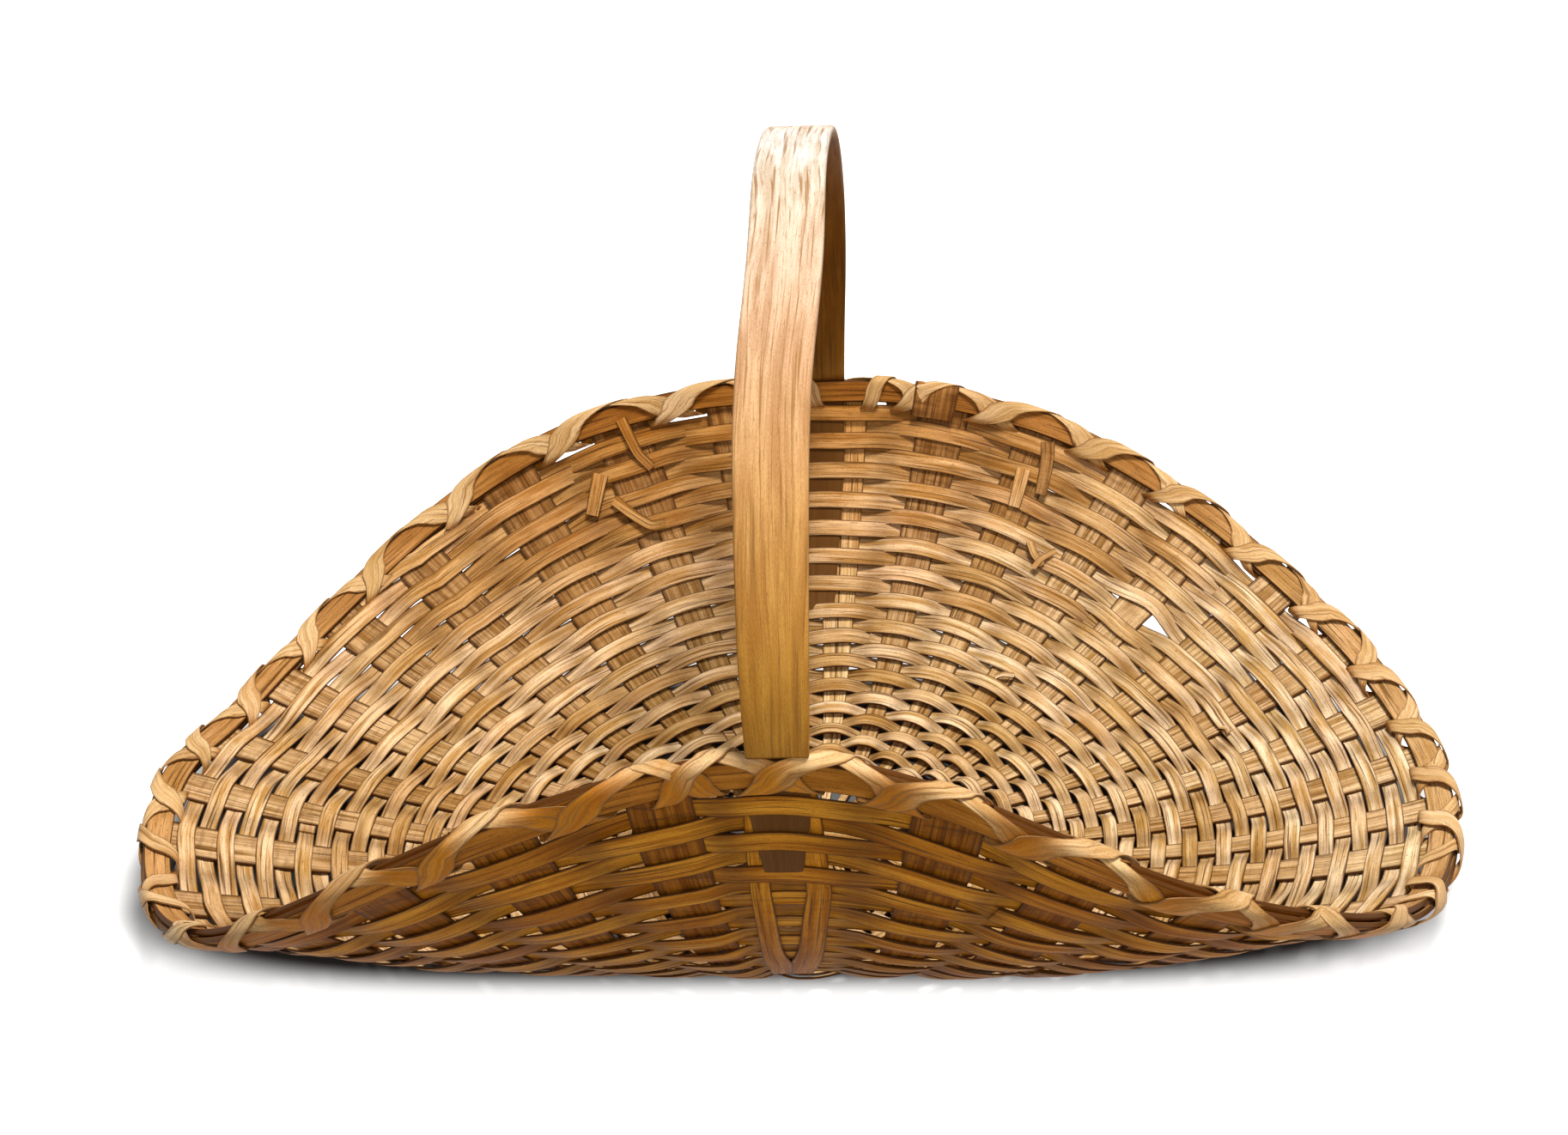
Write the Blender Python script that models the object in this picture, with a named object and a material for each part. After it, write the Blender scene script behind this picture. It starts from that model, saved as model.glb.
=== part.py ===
"""Flower gathering basket: a round sheet of woven oak splints, bent up in front and behind.

The spokes are laid out flat in polar form, as a maker lays them out, and the flat sheet is then
bent along its length: the walls rise at the front and the back, and the ends stay low and open.
Units are metres, +Z is up, +X is the length and +Y the depth.
"""
import bpy
import bmesh
from math import copysign, cos, floor, hypot, pi, radians, sin
from mathutils import Vector

# Outline of the flat sheet, from the crossing of the spokes to the middle of the rim
HALF_LENGTH = 0.305
LEFT_END_EXTRA = 0.011
HALF_DEPTH = 0.329
NEAR_SIDE_EXTRA = 0.019
OUTLINE_POWER = 1.94
OUTLINE_POWER_CHANGE = 0.20

# Bend of the sheet: flat floor, round walls, lifted ends
FLOOR_HALF_DEPTH = 0.048
WALL_RADIUS = 0.202
END_WIDENING = 0.236
END_LIFT = 0.043
LIFT_START = 0.24

# Splints
SPOKE_THICKNESS = 0.0010
SPOKE_SHARE = 0.48
WEAVER_WIDTH = 0.0076
WEAVER_THICKNESS = 0.0008
ROW_GAP = 0.00072
SEAT_GAP = 0.0003

# Crossing of the thinned spokes at the middle of the floor
WAIST_RADIUS = 0.0235
WAIST_WIDTH = 0.0040
WAIST_THICKNESS = 0.00035
RAMP_THICKNESS = 0.0005
WEAVE_START = 0.0503
KICK_UP = 0.0045

# Spokes stand in equal steps, but one quarter is squeezed to let in the odd spoke
QUARTER_STEPS = 8
SQUEEZED_STEP = radians(10.6)
ODD_START = 0.043
ODD_START_WIDTH = 0.0026

# Forked spoke under the near leg of the handle
FORK_START = 0.166
FORK_OPEN = 0.285
FORK_BASE_WIDTH = 0.0205
FORK_CROTCH = 0.006
PRONG_WIDTH = 0.0085
PRONG_SPREAD = 0.0122

# Rim
HOOP_HEIGHT = 0.012
HOOP_THICKNESS = 0.0028
LASHING_WIDTH = 0.0080
LASHING_THICKNESS = 0.0007
LASHING_GAP = 0.0008
LASHING_SLACK = 0.0009

# Handle
HANDLE_TOP = 0.354
HANDLE_THICKNESS = 0.0050
HANDLE_TOP_WIDTH = 0.0325
HANDLE_RIM_WIDTH = 0.0280
HANDLE_EDGE = 0.0009
HANDLE_POWER = 2.1
SHOULDER_LENGTH = 0.005
TAIL_WIDTH = 0.0240
TAIL_END_WIDTH = 0.0140
TAIL_THICKNESS = 0.0010
NEAR_TAIL = 0.052
FAR_TAIL = 0.115

# Fineness of the polygons
ARCH_STEPS = 26
ROWS_PER_BEND = 4
TALLEST_PEAK = 0.0034
CLEAR_OF_EDGE = 0.0006

# Sizes that follow from the ones above
SPOKE_SEAT = SPOKE_THICKNESS / 2 + SEAT_GAP
WEAVER_SEAT = SPOKE_SEAT + WEAVER_THICKNESS / 2
TAIL_SEAT = SPOKE_SEAT + TAIL_THICKNESS / 2
TAIL_STACK = TAIL_THICKNESS + SEAT_GAP
LASHING_STEP = LASHING_THICKNESS + LASHING_GAP
HOOP_FOOT = HOOP_HEIGHT / 2 + 2 * LASHING_STEP + SEAT_GAP
SHORT_END = HALF_LENGTH - LEFT_END_EXTRA
WEAVE_FIRST = WEAVE_START / SHORT_END
WEAVE_LAST = 1 - (HOOP_FOOT + WEAVER_WIDTH / 2) / SHORT_END
WEAVER_COUNT = floor((WEAVE_LAST - WEAVE_FIRST) * SHORT_END / (WEAVER_WIDTH + ROW_GAP) / 2)
ROWS = 2 * WEAVER_COUNT
ROW_STEP = (WEAVE_LAST - WEAVE_FIRST) / ROWS
LEAN = SPOKE_SHARE / 2
STAND_DEPTH = (WEAVER_SEAT + TALLEST_PEAK * LEAN) / (1 - LEAN) + SEAT_GAP
FLOOR_HEIGHT = STAND_DEPTH + WEAVER_THICKNESS / 2

OAK = {
    "spoke": (0.60, 0.42, 0.22),
    "weaver": (0.66, 0.47, 0.25),
    "rim": (0.50, 0.33, 0.16),
    "lashing": (0.74, 0.57, 0.35),
    "handle": (0.70, 0.47, 0.22),
}


def sheet(angle, r):
    """A point of the bent sheet, from its direction and distance on the flat one."""
    x, v = r * cos(angle), r * sin(angle)
    bend = (1 - END_WIDENING * (x / HALF_LENGTH) ** 2) / WALL_RADIUS
    turn = bend * max(abs(v) - FLOOR_HALF_DEPTH, 0)
    y = copysign(min(abs(v), FLOOR_HALF_DEPTH) + sin(turn) / bend, v)
    lift = max((abs(x) / HALF_LENGTH - LIFT_START) / (1 - LIFT_START), 0)
    return Vector((x, y, FLOOR_HEIGHT + (1 - cos(turn)) / bend + END_LIFT * lift ** 2))


def rim_radius(angle):
    """Distance on the flat sheet from the crossing of the spokes to the rim."""
    length = HALF_LENGTH - LEFT_END_EXTRA * cos(angle)
    depth = HALF_DEPTH - NEAR_SIDE_EXTRA * sin(angle)
    power = OUTLINE_POWER + OUTLINE_POWER_CHANGE * sin(angle)
    return (abs(cos(angle) / length) ** power + abs(sin(angle) / depth) ** power) ** (-1 / power)


def spoke_angles():
    """Directions of the spokes, from the near side round by the right end."""
    step = pi / 2 / QUARTER_STEPS
    squeezed = [SQUEEZED_STEP * j - pi / 2 for j in range(QUARTER_STEPS)]
    return squeezed + [squeezed[-1] / 2] + [step * j for j in range(3 * QUARTER_STEPS)]


ANGLES = spoke_angles()
SPOKES = len(ANGLES)
NEAR = 0
ODD = QUARTER_STEPS
FAR = 2 * QUARTER_STEPS + 1
JOIN = FAR + QUARTER_STEPS // 2


class Arm:
    """One spoke from the middle of the floor to the rim, straight between its bends."""

    def __init__(self, index, inner, inner_width, height):
        before = ANGLES[index - 1] - (2 * pi if index == 0 else 0)
        after = ANGLES[(index + 1) % SPOKES] + (2 * pi if index == SPOKES - 1 else 0)
        self.index = index
        self.angle = ANGLES[index]
        self.step = (after - before) / 2
        self.rim = rim_radius(self.angle)
        self.slant = {-1: self.slant_to(before), 1: self.slant_to(after)}
        self.inner_width = inner_width
        place = (index - JOIN) % SPOKES / SPOKES - 0.5
        bends = [WEAVE_FIRST + ROW_STEP * (place + n) for n in range(0, ROWS, ROWS_PER_BEND)]
        self.bends = [inner] + [self.rim * k for k in bends]
        droop = min(self.slant.values()) * SPOKE_SHARE * self.step * self.rim / 2
        self.bends.append(self.rim + droop + HOOP_HEIGHT / 2 - SPOKE_THICKNESS)
        self.heights = [height] + [0] * (len(self.bends) - 1)
        self.points = []
        for r, lift in zip(self.bends, self.heights):
            point, side, normal = self.frame(r)
            self.points.append((point + normal * lift, side, normal))

    def slant_to(self, angle):
        """How much a row climbs the spoke on its way to the next one; level across the handle."""
        turn = abs(angle - self.angle)
        other = rim_radius(angle)
        level = self.index in (NEAR, FAR)
        return 0 if level else (other * cos(turn) - self.rim) / (other * sin(turn))

    def frame(self, r):
        small = 0.0001
        along = sheet(self.angle, r + small) - sheet(self.angle, r - small)
        across = sheet(self.angle + small / r, r) - sheet(self.angle - small / r, r)
        normal = along.cross(across).normalized()
        return sheet(self.angle, r), normal.cross(along).normalized(), normal

    def facet(self, r):
        return max(j for j in range(len(self.bends) - 1) if j == 0 or self.bends[j] <= r)

    def at(self, r):
        """Middle, sideways direction and upward normal of the spoke at a distance."""
        n = self.facet(r)
        share = (r - self.bends[n]) / (self.bends[n + 1] - self.bends[n])
        near, far = self.points[n], self.points[n + 1]
        point = near[0].lerp(far[0], share)
        side = near[1].lerp(far[1], share).normalized()
        return point, side, near[2].lerp(far[2], share).normalized()

    def spot(self, r, shift, lift):
        """A point beside the spoke, on the slant of the rows, and over it."""
        slant = self.slant[1 if shift > 0 else -1]
        point, side, normal = self.at(r + slant * abs(shift))
        return point + side * shift + normal * lift

    def warp(self, r):
        """Most that a twisted stretch of the spoke bulges from its own straight lines."""
        n = self.facet(r)
        edges = [self.points[m][1] * self.width(self.bends[m]) / 2 for m in (n, n + 1)]
        return abs((edges[1] - edges[0]).dot(self.at(r)[2])) / 2

    def width(self, r):
        full = SPOKE_SHARE * self.step * r
        if self.index == NEAR and r > self.bends[2]:
            share = (r - self.bends[2]) / (FORK_START - self.bends[2])
            start = SPOKE_SHARE * self.step * self.bends[2]
            full = start + (FORK_BASE_WIDTH - start) * min(share, 1)
        return max(full, self.inner_width)

    def thickness(self, n):
        return (WAIST_THICKNESS, RAMP_THICKNESS)[n] if n < 2 else SPOKE_THICKNESS

    def tail_half_width(self, r):
        """Half the width of the handle's tail on this spoke, or nothing where it has none."""
        length = {NEAR: NEAR_TAIL, FAR: FAR_TAIL}.get(self.index, 0)
        share = (r + WEAVER_WIDTH - self.rim + length) / length if length else 0
        if share <= 0:
            return 0
        return (TAIL_END_WIDTH + (TAIL_WIDTH - TAIL_END_WIDTH) * min(share, 1)) / 2

    def half_span(self, r):
        """Half the width that a weaver crosses here, with the prongs and the tail."""
        half = self.width(r) / 2
        if self.index == NEAR and r > FORK_START:
            half = prong_offset(r) + PRONG_WIDTH / 2
        return max(half, self.tail_half_width(r))

    def seat(self, r, outward):
        """Height over the spoke's middle at which a weaver lies flat on it."""
        tail_is_here = self.tail_half_width(r) > 0 and outward == (self.index == NEAR)
        return WEAVER_SEAT + self.warp(r) + (TAIL_STACK if tail_is_here else 0)


def prong_offset(r):
    share = min(max((r - FORK_START) / (FORK_OPEN - FORK_START), 0), 1)
    start = (FORK_BASE_WIDTH - PRONG_WIDTH) / 2
    return start + (PRONG_SPREAD - start) * share


def stack_height(layer):
    return KICK_UP + (layer - (2 * QUARTER_STEPS - 1) / 2) * (WAIST_THICKNESS + SEAT_GAP)


def splint_pairs():
    """The two arms of each full-length splint, and its place in the pile at the middle."""
    for layer in range(2 * QUARTER_STEPS):
        turn = layer - QUARTER_STEPS
        yield layer, FAR + turn, turn % SPOKES


def make_arms():
    arms = [None] * SPOKES
    for layer, one, other in splint_pairs():
        for index in (one, other):
            arms[index] = Arm(index, WAIST_RADIUS, WAIST_WIDTH, stack_height(layer))
    arms[ODD] = Arm(ODD, ODD_START, ODD_START_WIDTH, 0)
    return arms


def add_object(name, kind, bm):
    """Put a closed mesh in the basket's collection with its own finish.

    Its twisted faces are split along the diagonal that keeps them smoother.
    """
    bmesh.ops.recalc_face_normals(bm, faces=bm.faces)
    bmesh.ops.triangulate(bm, faces=bm.faces)
    mesh = bpy.data.meshes.new(name)
    bm.to_mesh(mesh)
    bm.free()
    material = bpy.data.materials.new(name + "_oak")
    material.use_nodes = True
    finish = material.node_tree.nodes["Principled BSDF"]
    shade = 0.94 + 0.03 * (len(BASKET.objects) % 5)
    finish.inputs["Base Color"].default_value = [c * shade for c in OAK[kind]] + [1]
    finish.inputs["Roughness"].default_value = 0.62
    finish.inputs["Metallic"].default_value = 0
    mesh.materials.append(material)
    BASKET.objects.link(bpy.data.objects.new(name, mesh))


def bridge(bm, one, two):
    for a in range(len(one)):
        b = (a + 1) % len(one)
        bm.faces.new((one[a], one[b], two[b], two[a]))


def loft(name, kind, sections, closed=False):
    """A strip through rings of corners, capped at both ends or joined into a hoop."""
    bm = bmesh.new()
    rings = [[bm.verts.new(corner) for corner in section] for section in sections]
    for one, two in zip(rings, rings[1:]):
        bridge(bm, one, two)
    if closed:
        bridge(bm, rings[-1], rings[0])
    else:
        bm.faces.new(rings[0])
        bm.faces.new(rings[-1])
    add_object(name, kind, bm)


def flat_section(point, side, normal, left, right, thickness):
    lift = normal * thickness / 2
    a, b = point + side * left, point + side * right
    return [a + lift, b + lift, b - lift, a - lift]


def arm_sections(arm, outward=True, last=None):
    """Sections of a plain spoke, in order away from the middle or towards it."""
    sections = []
    for n, r in enumerate(arm.bends[:last]):
        point, side, normal = arm.points[n]
        half = arm.width(r) / 2
        side = side if outward else -side
        sections.append(flat_section(point, side, normal, -half, half, arm.thickness(n)))
    return sections if outward else sections[::-1]


def make_splints(arms):
    number = 0
    for layer, one, other in splint_pairs():
        if other == NEAR:
            make_forked_splint(arms[one], arms[other])
            continue
        number += 1
        sections = arm_sections(arms[other], outward=False) + arm_sections(arms[one])
        loft("splint_%02d" % number, "spoke", sections)
    loft("odd_splint", "spoke", arm_sections(arms[ODD]))


def make_forked_splint(far, near):
    """The splint under the handle: its near arm is split into two prongs."""
    whole = sum(r < FORK_START for r in near.bends)
    sections = arm_sections(far, outward=False) + arm_sections(near, last=whole)
    bm = bmesh.new()
    rings = [[bm.verts.new(corner) for corner in section] for section in sections]
    for one, two in zip(rings, rings[1:]):
        bridge(bm, one, two)
    point, side, normal = near.at(FORK_START)
    half = FORK_BASE_WIDTH / 2
    left = flat_section(point, side, normal, -half, 0, SPOKE_THICKNESS)
    right = flat_section(point, side, normal, 0, half, SPOKE_THICKNESS)
    a, middle_top, middle_bottom, d = [bm.verts.new(corner) for corner in left]
    b, c = [bm.verts.new(corner) for corner in right[1:3]]
    ta, tb, tc, td = rings[-1]
    bm.faces.new((ta, tb, b, middle_top, a))
    bm.faces.new((tb, tc, c, b))
    bm.faces.new((tc, td, d, middle_bottom, c))
    bm.faces.new((td, ta, a, d))
    bm.faces.new(rings[0])
    starts = {-1: [a, middle_top, middle_bottom, d], 1: [middle_top, b, c, middle_bottom]}
    stops = [FORK_START + FORK_CROTCH] + [r for r in near.bends if r > FORK_START + FORK_CROTCH]
    for hand, ring in starts.items():
        for r in stops:
            point, side, normal = near.at(r)
            middle = hand * prong_offset(r)
            inner, outer = middle - PRONG_WIDTH / 2, middle + PRONG_WIDTH / 2
            corners = flat_section(point, side, normal, inner, outer, SPOKE_THICKNESS)
            following = [bm.verts.new(corner) for corner in corners]
            bridge(bm, ring, following)
            ring = following
        bm.faces.new(ring)
    add_object("forked_splint", "spoke", bm)


def weaver_section(arm, r, shift, height):
    """Corners of a weaver beside or over a spoke, at a height over the spoke's middle."""
    up, down = height + WEAVER_THICKNESS / 2, height - WEAVER_THICKNESS / 2
    edges = [(-1, up), (1, up), (1, down), (-1, down)]
    return [arm.spot(r + edge * WEAVER_WIDTH / 2, shift, lift) for edge, lift in edges]


def peak_height(arms, arm, k, outward):
    """Height of a float's peak from which its slopes clear the spoke's edges."""
    r = k * arm.rim
    point, side, normal = arm.at(r)
    half, seat = arm.half_span(r), arm.seat(r, outward)
    peak = seat
    for turn in (-1, 1):
        other = arms[(arm.index + turn) % SPOKES]
        other_r = k * other.rim
        offset = other.at(other_r)[0] - point
        rise = offset.dot(normal) * (1 if outward else -1)
        room = abs(offset.dot(side))
        flat_room = room - other.half_span(other_r) - CLEAR_OF_EDGE
        for reach, run in ((TALLEST_PEAK, room), (other.seat(other_r, not outward), flat_room)):
            lean = half / run
            peak = max(peak, (seat + (reach + rise) * lean) / (1 - lean))
    return peak


def weaver_crossing(arms, count):
    """Places of the weaver at one spoke: a peak, or a flat stretch between two corners."""
    arm = arms[(JOIN + count) % SPOKES]
    k = WEAVE_FIRST + ROW_STEP * count / SPOKES
    r = k * arm.rim
    standing = count < 2 * SPOKES
    under_fork = arm.index == NEAR and FORK_START < r < FORK_OPEN
    outward = count % 2 == 0 and not under_fork
    sign = -1 if outward else 1
    peak = peak_height(arms, arm, k, outward)
    half = arm.half_span(r) + CLEAR_OF_EDGE
    if standing or peak > TALLEST_PEAK or arm.index in (NEAR, FAR):
        height = STAND_DEPTH if standing and outward else arm.seat(r, outward)
        return [(arm, r, shift, sign * height) for shift in (-half, half)]
    return [(arm, r, 0, sign * peak)]


def make_weavers(arms):
    """One long spiral, pieced from weavers that go round twice and end behind a spoke."""
    turns = 2 * SPOKES
    for n in range(WEAVER_COUNT):
        stops = []
        for count in range(n * turns, (n + 1) * turns + 1):
            stops += weaver_crossing(arms, count)
        arm, r, shift, height = stops[0]
        stops[0] = (arm, r, max(shift, 0) + CLEAR_OF_EDGE, height)
        arm, r, shift, height = stops[-1]
        stops[-1] = (arm, r, min(shift, 0) - CLEAR_OF_EDGE, height)
        loft("weaver_%02d" % (n + 1), "weaver", [weaver_section(*stop) for stop in stops])


def rim_spot(arm, shift, up, out):
    """A point by the rim: sideways, up from the middle of the rim, and out from the spoke."""
    half = arm.half_span(arm.rim) + CLEAR_OF_EDGE
    left, right = [arm.spot(arm.rim + up, edge, out) for edge in (-half, half)]
    return left.lerp(right, (shift + half) / (2 * half))


def hoop_face(arm, inside):
    """Height over the spoke of the hoop's face that lies against it."""
    tail = TAIL_STACK if arm.index == (FAR if inside else NEAR) else 0
    return SPOKE_SEAT + arm.warp(arm.rim) + tail


def make_hoop(arms, name, inside):
    sign = 1 if inside else -1
    sections = []
    for arm in arms:
        near = hoop_face(arm, inside) * sign
        far = near + HOOP_THICKNESS * sign
        half = arm.half_span(arm.rim) + CLEAR_OF_EDGE
        for shift in (-half, half):
            corners = [(-1, near), (1, near), (1, far), (-1, far)]
            sections.append([rim_spot(arm, shift, up * HOOP_HEIGHT / 2, out) for up, out in corners])
    loft(name, "rim", sections, closed=True)


def wrap_corner(arm, inside, top, base):
    """Inner and outer corner of a lashing's wrap: up from the rim's middle, out from the spoke."""
    up = HOOP_HEIGHT / 2 + base
    slack = LASHING_SLACK / 3 if inside else LASHING_SLACK
    out = hoop_face(arm, inside) + HOOP_THICKNESS + base + slack
    up_sign = 1 if top else -1
    out_sign = 1 if inside else -1
    inner = (up * up_sign, out * out_sign)
    outer = ((up + LASHING_THICKNESS) * up_sign, (out + LASHING_THICKNESS) * out_sign)
    return inner, outer


def lashing_span(distance, base):
    """Length along the rim that a lashing of full width takes on its slant."""
    rise = HOOP_HEIGHT + 2 * base
    return LASHING_WIDTH * hypot(distance / 2, rise) / rise


def apex_section(arm, inside, base, hand):
    """Lashing over the top of the rim, at a spoke or beside the handle's leg."""
    half = lashing_span(arm.step * arm.rim, base) / 2
    shift = 0
    if arm.index in (NEAR, FAR):
        half = LASHING_WIDTH * 0.8
        shift = hand * (HANDLE_RIM_WIDTH / 2 + half + 2 * SEAT_GAP)
    inner, outer = wrap_corner(arm, inside, True, base)
    spots = [(shift - half, inner), (shift + half, inner), (shift + half, outer), (shift - half, outer)]
    return [rim_spot(arm, along, up, out) for along, (up, out) in spots]


def foot_section(arm, other, inside, base):
    """Lashing under the rim, in the gap between two spokes."""
    corners = []
    for n in (0, 1):
        spots = []
        for spoke, hand in ((arm, 1), (other, -1)):
            up, out = wrap_corner(spoke, inside, False, base)[n]
            edge = spoke.half_span(spoke.rim) + CLEAR_OF_EDGE
            spots.append(rim_spot(spoke, hand * edge, up, out))
        middle = (spots[0] + spots[1]) / 2
        gap = spots[1] - spots[0]
        distance = (arm.step + other.step) / 2 * arm.rim
        half = min(lashing_span(distance, base), gap.length - 2 * SEAT_GAP) / 2
        along = gap.normalized() * half
        corners.append((middle - along, middle + along))
    (a, b), (d, c) = corners
    return [a, b, c, d]


def make_lashing(arms, name, layer):
    """A splint wound round both hoops, once for each spoke; the second one winds back."""
    base = 2 * SEAT_GAP + layer * LASHING_STEP
    inside_first = layer == 0
    hand = -1 if inside_first else 1
    sections = []
    for n in range(SPOKES - 1):
        arm = arms[(JOIN + n) % SPOKES]
        after = arms[(JOIN + n + 1) % SPOKES]
        sections.append(apex_section(arm, inside_first, base, hand))
        sections.append(apex_section(arm, not inside_first, base, hand))
        sections.append(foot_section(arm, after, not inside_first, base))
        sections.append(foot_section(arm, after, inside_first, base))
    loft(name, "lashing", sections)


def handle_section(point, out, half_width, half_thickness):
    w, t = half_width, half_thickness
    e = min(HANDLE_EDGE, t * 0.6)
    outline = [(-w + e, t), (w - e, t), (w, t - e), (w, e - t)]
    outline += [(w - e, -t), (e - w, -t), (-w, e - t), (-w, t - e)]
    return [point + Vector((x, 0, 0)) + out * depth for x, depth in outline]


def leg_stations(arm, length, outward):
    """Tail and shoulder of one end of the handle, from the tail's tip upwards."""
    hand = 1 if outward else -1
    start = arm.rim - length
    seat_top = arm.rim + HOOP_HEIGHT / 2 + SEAT_GAP
    radii = [start] + [r for r in arm.bends if start < r < arm.rim] + [seat_top]
    stations = []
    for r in radii:
        share = (r - start) / (seat_top - start)
        half = (TAIL_END_WIDTH + (TAIL_WIDTH - TAIL_END_WIDTH) * share) / 2
        point, side, normal = arm.at(r)
        stations.append((point - normal * hand * TAIL_SEAT, -normal, half, TAIL_THICKNESS / 2))
    for up, share in ((0.0001, 0.6), (SHOULDER_LENGTH / 3, 0.9), (SHOULDER_LENGTH, 1)):
        thick = HANDLE_THICKNESS * share
        half = (TAIL_WIDTH + (HANDLE_RIM_WIDTH - TAIL_WIDTH) * share) / 2
        point, side, normal = arm.at(seat_top + up)
        offset = hand * (SPOKE_SEAT + thick / 2)
        stations.append((point - normal * offset, -normal, half, thick / 2))
    return stations


def make_handle(arms):
    """A flat hoop: an arch from front to back, shouldered on the rim, with thin woven tails."""
    near = leg_stations(arms[NEAR], NEAR_TAIL, True)
    far = leg_stations(arms[FAR], FAR_TAIL, False)
    start, end = near[-1][0], far[-1][0]
    middle, span = (start + end) / 2, (end - start) / 2
    top = HANDLE_TOP - HANDLE_THICKNESS / 2
    arch = []
    for n in range(1, ARCH_STEPS):
        turn = pi * n / ARCH_STEPS
        c, s = -cos(turn), sin(turn)
        reach = (abs(c) ** HANDLE_POWER + abs(s) ** HANDLE_POWER) ** (-1 / HANDLE_POWER)
        base = middle + span * c * reach
        arch.append(base + Vector((0, 0, (top - middle.z) * s * reach)))
    path = [start] + arch + [end]
    stations = []
    for n, point in enumerate(arch, start=1):
        along = path[n + 1] - path[n - 1]
        out = Vector((0, -along.z, along.y)).normalized()
        share = sin(pi * n / ARCH_STEPS)
        half = (HANDLE_RIM_WIDTH + (HANDLE_TOP_WIDTH - HANDLE_RIM_WIDTH) * share) / 2
        stations.append((point, out, half, HANDLE_THICKNESS / 2))
    sections = [handle_section(*station) for station in near + stations + far[::-1]]
    loft("handle_hoop", "handle", sections)


def centre_on_floor():
    """Put the origin under the middle of the whole basket, on the surface it stands on."""
    corners = [vertex.co for item in BASKET.objects for vertex in item.data.vertices]
    low = [min(corner[axis] for corner in corners) for axis in range(3)]
    high = [max(corner[axis] for corner in corners) for axis in range(3)]
    shift = Vector((-(low[0] + high[0]) / 2, -(low[1] + high[1]) / 2, -low[2]))
    for item in BASKET.objects:
        for vertex in item.data.vertices:
            vertex.co += shift


for item in list(bpy.data.objects):
    bpy.data.objects.remove(item)
BASKET = bpy.data.collections.new("flower_gathering_basket")
bpy.context.scene.collection.children.link(BASKET)

ARMS = make_arms()
make_splints(ARMS)
make_weavers(ARMS)
make_hoop(ARMS, "rim_hoop_inner", True)
make_hoop(ARMS, "rim_hoop_outer", False)
make_lashing(ARMS, "lashing_first", 0)
make_lashing(ARMS, "lashing_second", 1)
make_handle(ARMS)
centre_on_floor()
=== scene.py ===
from math import cos, exp, pi, radians, sin, tanh, tau

import bpy
import numpy as np
from mathutils import Matrix, Vector, noise


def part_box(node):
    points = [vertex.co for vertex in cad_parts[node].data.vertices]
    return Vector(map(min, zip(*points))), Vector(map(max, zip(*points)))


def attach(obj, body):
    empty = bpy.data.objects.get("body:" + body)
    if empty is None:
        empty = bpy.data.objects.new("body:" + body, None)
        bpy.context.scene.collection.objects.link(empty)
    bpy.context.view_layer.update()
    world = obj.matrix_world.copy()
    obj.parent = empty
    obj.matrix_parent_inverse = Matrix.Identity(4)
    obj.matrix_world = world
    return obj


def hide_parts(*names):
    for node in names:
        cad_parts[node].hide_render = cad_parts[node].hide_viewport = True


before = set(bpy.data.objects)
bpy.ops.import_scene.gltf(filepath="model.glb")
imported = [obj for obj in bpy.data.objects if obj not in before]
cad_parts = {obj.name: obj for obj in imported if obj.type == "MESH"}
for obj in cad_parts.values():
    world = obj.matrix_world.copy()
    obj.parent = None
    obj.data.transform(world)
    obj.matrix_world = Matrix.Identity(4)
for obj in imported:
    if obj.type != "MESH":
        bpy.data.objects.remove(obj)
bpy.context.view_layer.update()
bpy.ops.object.select_all(action="DESELECT")


# Spokes
# Sixteen long splints of white oak are split from the log, thinned where they cross in the
# middle of the floor, and laid like the spokes of a wheel. A short odd one is let in from
# the right, and the one under the handle is split into two prongs at its near end.
LENGTH, LEFT_EXTRA = 0.305, 0.011
DEPTH, NEAR_EXTRA = 0.329, 0.019
OUTLINE_POWER, OUTLINE_CHANGE = 1.94, 0.20
FLOOR_HALF_DEPTH, WALL_RADIUS, END_WIDENING = 0.048, 0.202, 0.236
END_LIFT, LIFT_START = 0.043, 0.24
FLOOR_HEIGHT = 0.0030
# The weave leaves a spoke a little more room than its splint needs.
SPOKE_THICKNESS = 0.0010
SPLINT_THICKNESS = SPOKE_THICKNESS * 0.9
SPOKE_SHARE = 0.48
SPLINT_STATIONS, ODD_STATIONS = 120, 60
PILE_RADIUS, PILE_END, PILE_HEIGHT, PILE_PITCH = 0.022, 0.052, 0.0042, 0.0005
WAIST_WIDTH = 0.0042
RIM_HEIGHT, SPOKE_END_GAP = 0.0125, 0.001
RIPPLE, RIPPLES_A_METRE = 0.10, 45
SPOKE_TONE, SPOKE_TONE_CHANGE, TONES_A_METRE = 0.5, 0.9, 9
FORK_START, FORK_OPEN, FORK_BASE = 0.166, 0.287, 0.0170
# Edges of the prongs from the middle of the fork, and the middle's own place, against distance.
PRONG_INNER = [(0.212, 0.0), (0.216, 0.0012), (0.230, 0.0032), (0.260, 0.0051), (0.282, 0.0070),
               (0.320, 0.0064), (0.350, 0.0056)]
PRONG_OUTER = [(0.166, 0.0085), (0.190, 0.0092), (0.210, 0.0118), (0.230, 0.0129), (0.260, 0.0144),
               (0.282, 0.0160), (0.320, 0.0150), (0.350, 0.0130)]
FORK_LEAN = [(0.110, 0.0), (0.175, -0.0045), (0.210, -0.0017), (0.230, -0.0007), (0.260, 0.0007),
             (0.282, 0.0017), (0.320, 0.0008), (0.350, 0.0)]
PRONG_UNLIKE, PRONG_COLUMNS = 0.0009, 4

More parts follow.
